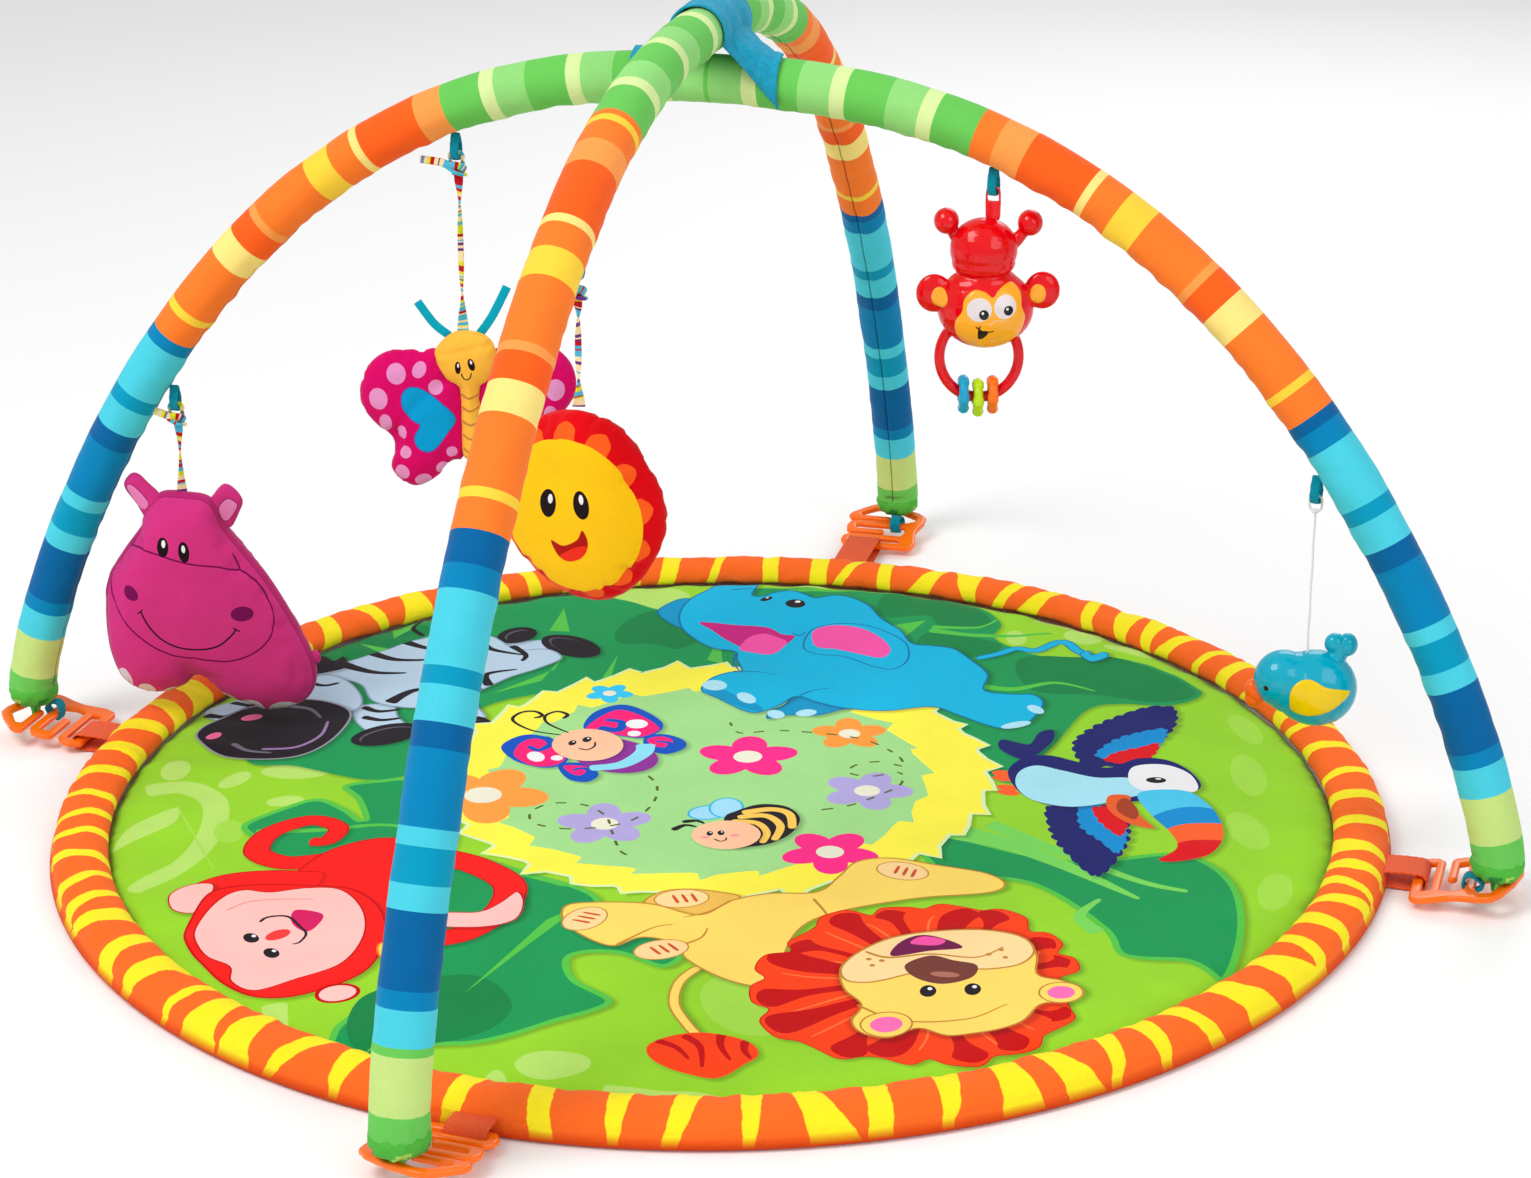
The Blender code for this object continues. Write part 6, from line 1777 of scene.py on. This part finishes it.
for name, x, y, colour in (("cyan", -14.0, -107.6, rgb(0, 164, 210)),
                           ("lime", -6.2, -109.4, rgb(190, 232, 0)),
                           ("orange", 1.6, -107.8, rgb(255, 118, 8))):
    parts = []
    ring = [P(x, y + 7.2 * math.cos(a), 7.2 * math.sin(a)) for a in (math.tau * i / 40 for i in range(41))]
    parts.append(bar(ring, 0.0031, sides=14))
    for i in range(5):
        a = math.tau * (i + 0.3) / 5
        arc = [P(x, y + 7.5 * math.cos(a + b), 7.5 * math.sin(a + b)) for b in (-0.22, -0.08, 0.08, 0.22)]
        parts.append(bar(arc, 0.0037, sides=14))
    verts, faces = fused(parts, 0.00042, 3, "ring_skin")
    make(f"ring_{name}_knobs", verts, faces, moulded(f"ring_{name}_skin", colour, 0.16), f"ring_{name}",
         (f"rattle_ring_{name}",))

B = facing(HANGS["bird"][0], 0.0, 1.045, TALL, 1.045)
CYAN_SKIN, BEAK, WING = rgb(0, 168, 196), rgb(248, 100, 12), rgb(244, 206, 0)
tail_stem = smooth([B(13, -112), B(18.5, -103), B(20, -97)], False, 0.002)
parts = [egg(B, 5, -123.5, 0, 27, 24, 18.5, -0.06, -8), egg(B, -14, -117.8, 0, 18.2, 18.2, 16.2),
         egg(B, -4, -121, 0, 24, 20, 17.4), bar(tail_stem, 0.0078, 0.0056),
         egg(B, 17.0, -94.6, 0, 6.8, 6.4, 5.8), egg(B, 24.5, -95.6, 0, 6.4, 7.4, 6.0),
         egg(B, 21, -97, 0, 8.0, 6.2, 5.8)]
verts, faces = fused(parts, 0.00062, 5, "bird_skin")
bird_depth = lambda v: (v - B(0, 0, 0)).dot(front_axis)
verts = parting(verts, B, bird_depth, 0.00028)
bird_cyan = moulded("bird_cyan", CYAN_SKIN, 0.12)
make("bird_shell", verts, faces, bird_cyan, "bird", ("bird_front", "bird_back"))
shell = (verts, faces)
beak = [egg(B, -31.0, -126.5, 0, 6.2, 8.6, 5.2, 0, 24), egg(B, -32.5, -131, 0, 4.6, 5.6, 4.4, 0, 24)]
verts, faces = fused(beak, 0.00045, 4, "beak_skin")
make("bird_beak", verts, faces, moulded("beak_skin", BEAK, 0.18), "bird", ())
wing_line = smooth([(-12, -124), (-10, -133), (-1, -136), (9, -134), (18, -129), (25.6, -121.6), (20, -119),
                    (10, -116.6), (2, -112.6), (-5, -112.6), (-10.5, -117)], True, 1.0)
bird_paint = moulded("bird_paint", None, 0.14)
for side, back in (("front", False), ("back", True)):
    v, f, c = over_surface(*shell, B, wing_line, [], WING, 0.9, 1.4, 0.5, back)
    make(f"bird_wing_{side}", v, f, bird_paint, "bird", (), c)
    v, f, c = over_surface(*shell, B, oval(-26.2, -119.4, 1.4, 1.7, 15, 0.5), [], PUPIL, 0.25, 0.6, 0.3,
                           back)
    make(f"bird_eye_{side}", v, f, bird_paint, "bird", (), c)
white_skin = moulded("white_skin", rgb(236, 236, 232), 0.22)
pivot, axis = Vector(HANGS["bird"][0]), Vector(HANGS["bird"][1])
across = axis.cross(UP)
spot = lambda s, z, d=0.0: pivot + (axis * s + UP * z + across * d) / 1000
stop_path = smooth([spot(0, -10.4), spot(-3.6, -8.6), spot(-4.1, -4), spot(-3.2, -0.6), spot(0, 0.2),
                    spot(3.2, -0.6),
                    spot(4.1, -4), spot(3.6, -8.6)], True, 0.0011)
parts = [bar(stop_path + stop_path[:1], 0.00085), egg(B, 0, -9.7, 0, 2.6, 1.5, 2.0)]
verts, faces = fused(parts, 0.00036, 2, "stopper_skin")
make("bird_stopper_ring", verts, faces, white_skin, "bird_hanger", ("bird_stopper",))
cord_line = [B(0.12 * math.sin(i * 0.35), (-11.3 - 100.4 * i / 60) / TALL, 0.12 * math.cos(i * 0.35))
             for i in range(61)]
verts, faces = bar(cord_line, 0.00075, sides=10)
cord_cloth = cloth("cord_white", rgb(236, 236, 234), grain=0.0004, mottle=0.15)
cord = make("bird_pull_cord", verts, faces, cord_cloth, "bird_hanger", ("bird_cord",))
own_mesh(cord)
spool_parts = [egg(B, 0, -122, 0, 9.5, 9.5, 0.9),
               bar([B(0, -122, d) for d in (-4, -3, -2, 0, 2, 3, 4)], 0.0046),
               bar([B(0, -122, d) for d in (-4, -3.4, -2.8)], 0.0095, sides=32),
               bar([B(0, -122, d) for d in (2.8, 3.4, 4)], 0.0095, sides=32)]
verts, faces = fused(spool_parts, 0.0006, 2, "spool_skin")
make("spool", verts, faces, white_skin, "bird_spool", ("bird_spool",))

# ---------------------------------------------------------------- links, webbing tabs and foot loops
link_skin = moulded("link_skin", rgb(255, 112, 8), 0.14)
webbing, tree, shader = node_material("webbing")
ribs = new_node(tree, "ShaderNodeAttribute", attribute_name="rib").outputs["Fac"]
wave = new_node(tree, "ShaderNodeMath", operation="SINE")
tree.links.new(ribs, wave.inputs[0])
weft = noise_at(tree, 900.0, 3.0)
# painted shade and highlight: the ribs are darkened in their grooves and lightened on their crowns, in step with the
# rib bump
wear_and_shade = blend_colours(tree, rgb(252, 88, 14), ranged(tree, wave.outputs[0], -1, 1, 0.84, 1.06), 1.0,
                     "MULTIPLY")
wear_and_shade = blend_colours(tree, wear_and_shade, ranged(tree, weft, 0.3, 0.7, 0.88, 1.05), 1.0, "MULTIPLY")
tree.links.new(wear_and_shade, shader.inputs["Base Color"])
shader.inputs["Roughness"].default_value = 0.7
shader.inputs["Sheen Weight"].default_value = 0.06
bumped(tree, shader, [(wave.outputs[0], 0.0002), (weft, 0.0001)])
terry_foot = terry("terry_foot", rgb(0, 158, 184))
for leg, (foot, _) in LEGS.items():
    cad = bpy.data.objects[f"link_{leg}"]
    where = cad.matrix_world
    corners = [where @ v.co for v in cad.data.vertices]
    panels = [tuple(p.vertices) for p in cad.data.polygons]
    verts, faces = fused([(corners, panels)], 0.0007, 9, "link_skin")
    make(f"hook_{leg}", verts, faces, link_skin, "gym", (f"link_{leg}",))

    out = (foot - MAT_CENTRE).normalized()
    right = Vector((out.y, -out.x, 0))
    low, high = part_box(f"tab_{leg}")
    tab = bpy.data.objects[f"tab_{leg}"]
    spots = [tab.matrix_world @ v.co for v in tab.data.vertices]
    ahead = [p.dot(out) for p in spots]
    beside = [p.dot(right) for p in spots]
    tall = [p.z for p in spots]
    far, near, left_side, right_side = max(ahead), min(ahead), min(beside), max(beside)
    middle_z, reach = (max(tall) + min(tall)) / 2, (max(tall) - min(tall)) / 2 - 0.0006
    bend = far - 0.0006 - reach
    profile = [(near - 0.004, middle_z + reach * 0.8), ((near + bend) / 2, middle_z + reach),
               (bend, middle_z + reach)]
    profile += [(bend + reach * math.sin(a), middle_z + reach * math.cos(a)) for a in
                (math.pi * i / 8 for i in range(1, 8))]
    profile += [(bend, middle_z - reach), ((near + bend) / 2, middle_z - reach),
                (near - 0.004, middle_z - reach * 0.8)]
    line = smooth([Vector((u, z)) for u, z in profile], False, 0.0012)
    columns = 40
    verts, rib, faces = [], [], []
    for side_of in (1, -1):
        for i, p in enumerate(line):
            before, after = line[max(i - 1, 0)], line[min(i + 1, len(line) - 1)]
            normal = Vector((-(after - before).y, (after - before).x)).normalized() * (0.00055 * side_of)
            for j in range(columns + 1):
                w = left_side + (right_side - left_side) * j / columns
                w += 0.0003 * math.sin(i * 1.7) * (1 if j in (0, columns) else 0)
                verts.append(out * (p.x + normal.x) + right * w + UP * max(p.y + normal.y, 0.0003))
                rib.append(w * 1000 * math.tau / 1.5)
    size = columns + 1
    layer = len(line) * size
    for i in range(len(line) - 1):
        for j in range(columns):
            a = i * size + j
            faces.append((a, a + 1, a + size + 1, a + size))
            faces.append((layer + a, layer + a + size, layer + a + size + 1, layer + a + 1))
        for j, order in ((0, 1), (columns, -1)):
            a = i * size + j
            quad = (a, a + size, layer + a + size, layer + a)
            faces.append(quad if order == 1 else quad[::-1])
    for i in (0, len(line) - 1):
        for j in range(columns):
            a = i * size + j
            faces.append((a, layer + a, layer + a + 1,
                          a + 1) if i == 0 else (a, a + 1, layer + a + 1, layer + a))
    make(f"webbing_{leg}", verts, faces, webbing, "gym", (f"tab_{leg}",), floats={"rib": rib})

    loop_low, loop_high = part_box(f"foot_loop_{leg}")
    loop = bpy.data.objects[f"foot_loop_{leg}"]
    spots = [loop.matrix_world @ v.co for v in loop.data.vertices]
    beside = sum(p.dot(right) for p in spots) / len(spots)
    near, far = min(p.dot(out) for p in spots), max(p.dot(out) for p in spots)
    bottom, top = min(p.z for p in spots), max(p.z for p in spots)
    at = lambda u, z, w=0.0: out * (near + (far - near) * u) + UP * (bottom + (top - bottom)
                                                                     * z) + right * (beside + w)
    path = smooth([at(0.10, 0.50, -0.001), at(0.22, 0.86, -0.0006), at(0.50, 0.90, 0.0),
                   at(0.82, 0.74, 0.0006),
                   at(0.95, 0.55, 0.001), at(0.84, 0.38, 0.0008), at(0.55, 0.22, 0),
                   at(0.25, 0.14, -0.0006)], True,
                  0.0011)
    verts, faces = ribbon(path, 0.0086, 0.0022, right, closed=True, soft=0.22, seed=len(leg))
    verts = [Vector((v.x, v.y, max(v.z, 0.0003))) for v in verts]
    make(f"foot_tie_{leg}", verts, faces, terry_foot, "gym", (f"foot_loop_{leg}",))

# ---------------------------------------------------------------- terry wrap over the crossing
CROSS_A, CROSS_B = Vector((APEX.x, APEX.y, 0.494)), Vector((APEX.x, APEX.y, 0.5285))
LIFT = TUBE + 0.0022


def wrap_point(w, t):
    """Cloth surface: w runs over the upper arch from the left flap to the right one, t from back to front."""
    side = 1 if w >= 0 else -1
    size = abs(w)
    length = 0.031 - 0.004 * t
    over = math.radians(112)
    bare = leg_point("front" if t > 0 else "back", math.pi / 2 - abs(t) * length / 0.56)
    centre = Vector((CROSS_B.x, CROSS_B.y - t * length, bare.z))
    if size <= 0.42:
        a = over * size / 0.42 * (0.82 + 0.18 * t * t)
        x, z = math.sin(a) * LIFT, math.cos(a) * LIFT
        sag = 0.0007 * math.sin(9 * t + 3 * w)
        return centre + Vector((side * (x + sag), 0, z))
    share = (size - 0.42) / 0.58
    a = over * (0.82 + 0.18 * t * t)
    start = centre + Vector((side * math.sin(a) * LIFT, 0, math.cos(a) * LIFT))
    ring = math.radians(128) * t
    tip_x = 0.050 if t > 0 else 0.045
    drop = leg_point("right" if side > 0 else "left", math.pi / 2 - tip_x / 0.56).z
    end = Vector((CROSS_A.x + side * tip_x, CROSS_A.y - math.sin(ring) * LIFT,
                  drop + math.cos(ring) * LIFT))
    point = start.lerp(end, share)
    clear = LIFT - math.hypot(point.y - CROSS_A.y, point.z - CROSS_A.z)
    if clear > 0:
        away = Vector((0, point.y - CROSS_A.y, point.z - CROSS_A.z + 0.004)).normalized()
        point += away * clear
    swing = math.sin(math.pi * min(share * 1.15, 1.0)) ** 0.8
    front = Vector((side * 0.35, -1 if t > 0 else 1, 0.35)).normalized()
    fan = math.sin(t * 13 + share * 4.2 + w) * 0.5 + math.sin(t * 23 - share * 6.5) * 0.3
    return point + front * (swing * abs(t) ** 0.5 * (0.0026 * fan + 0.0008))


def wrap():
    """Terry cloth draped over the crossing of the arches."""
    across_count, along_count = 96, 60
    grid = [[wrap_point(-1 + 2 * i / across_count,
                        -1 + 2 * j / along_count) for i in range(across_count + 1)]
            for j in range(along_count + 1)]
    size = across_count + 1
    verts, faces = [], []
    for layer in (0, 1):
        for j, row in enumerate(grid):
            for i, p in enumerate(row):
                side = (grid[j][min(i + 1, across_count)] - grid[j][max(i - 1, 0)])
                ahead = (grid[min(j + 1, along_count)][i] - grid[max(j - 1, 0)][i])
                normal = ahead.cross(side).normalized()
                fuzz = 0.00025 * noise.noise(p * 900)
                verts.append(p + normal * (fuzz + (0.0008 if layer == 0 else -0.0008)))
    block = size * (along_count + 1)
    for j in range(along_count):
        for i in range(across_count):
            a = j * size + i
            faces.append((a, a + size, a + size + 1, a + 1))
            faces.append((block + a, block + a + 1, block + a + size + 1, block + a + size))
    rim_loop = list(range(size)) + [j * size + size - 1 for j in range(1, along_count + 1)]
    rim_loop += [along_count * size + i for i in range(size - 2, -1, -1)] + [j * size for j in
                                                                         range(along_count - 1, 0, -1)]
    for a, b in zip(rim_loop, rim_loop[1:] + rim_loop[:1]):
        faces.append((a, b, block + b, block + a))
    return make("terry_wrap", verts, faces, terry("terry_sky", rgb(36, 178, 218)), "gym",
                ("crossing_wrap",))


cloth_wrap = wrap()
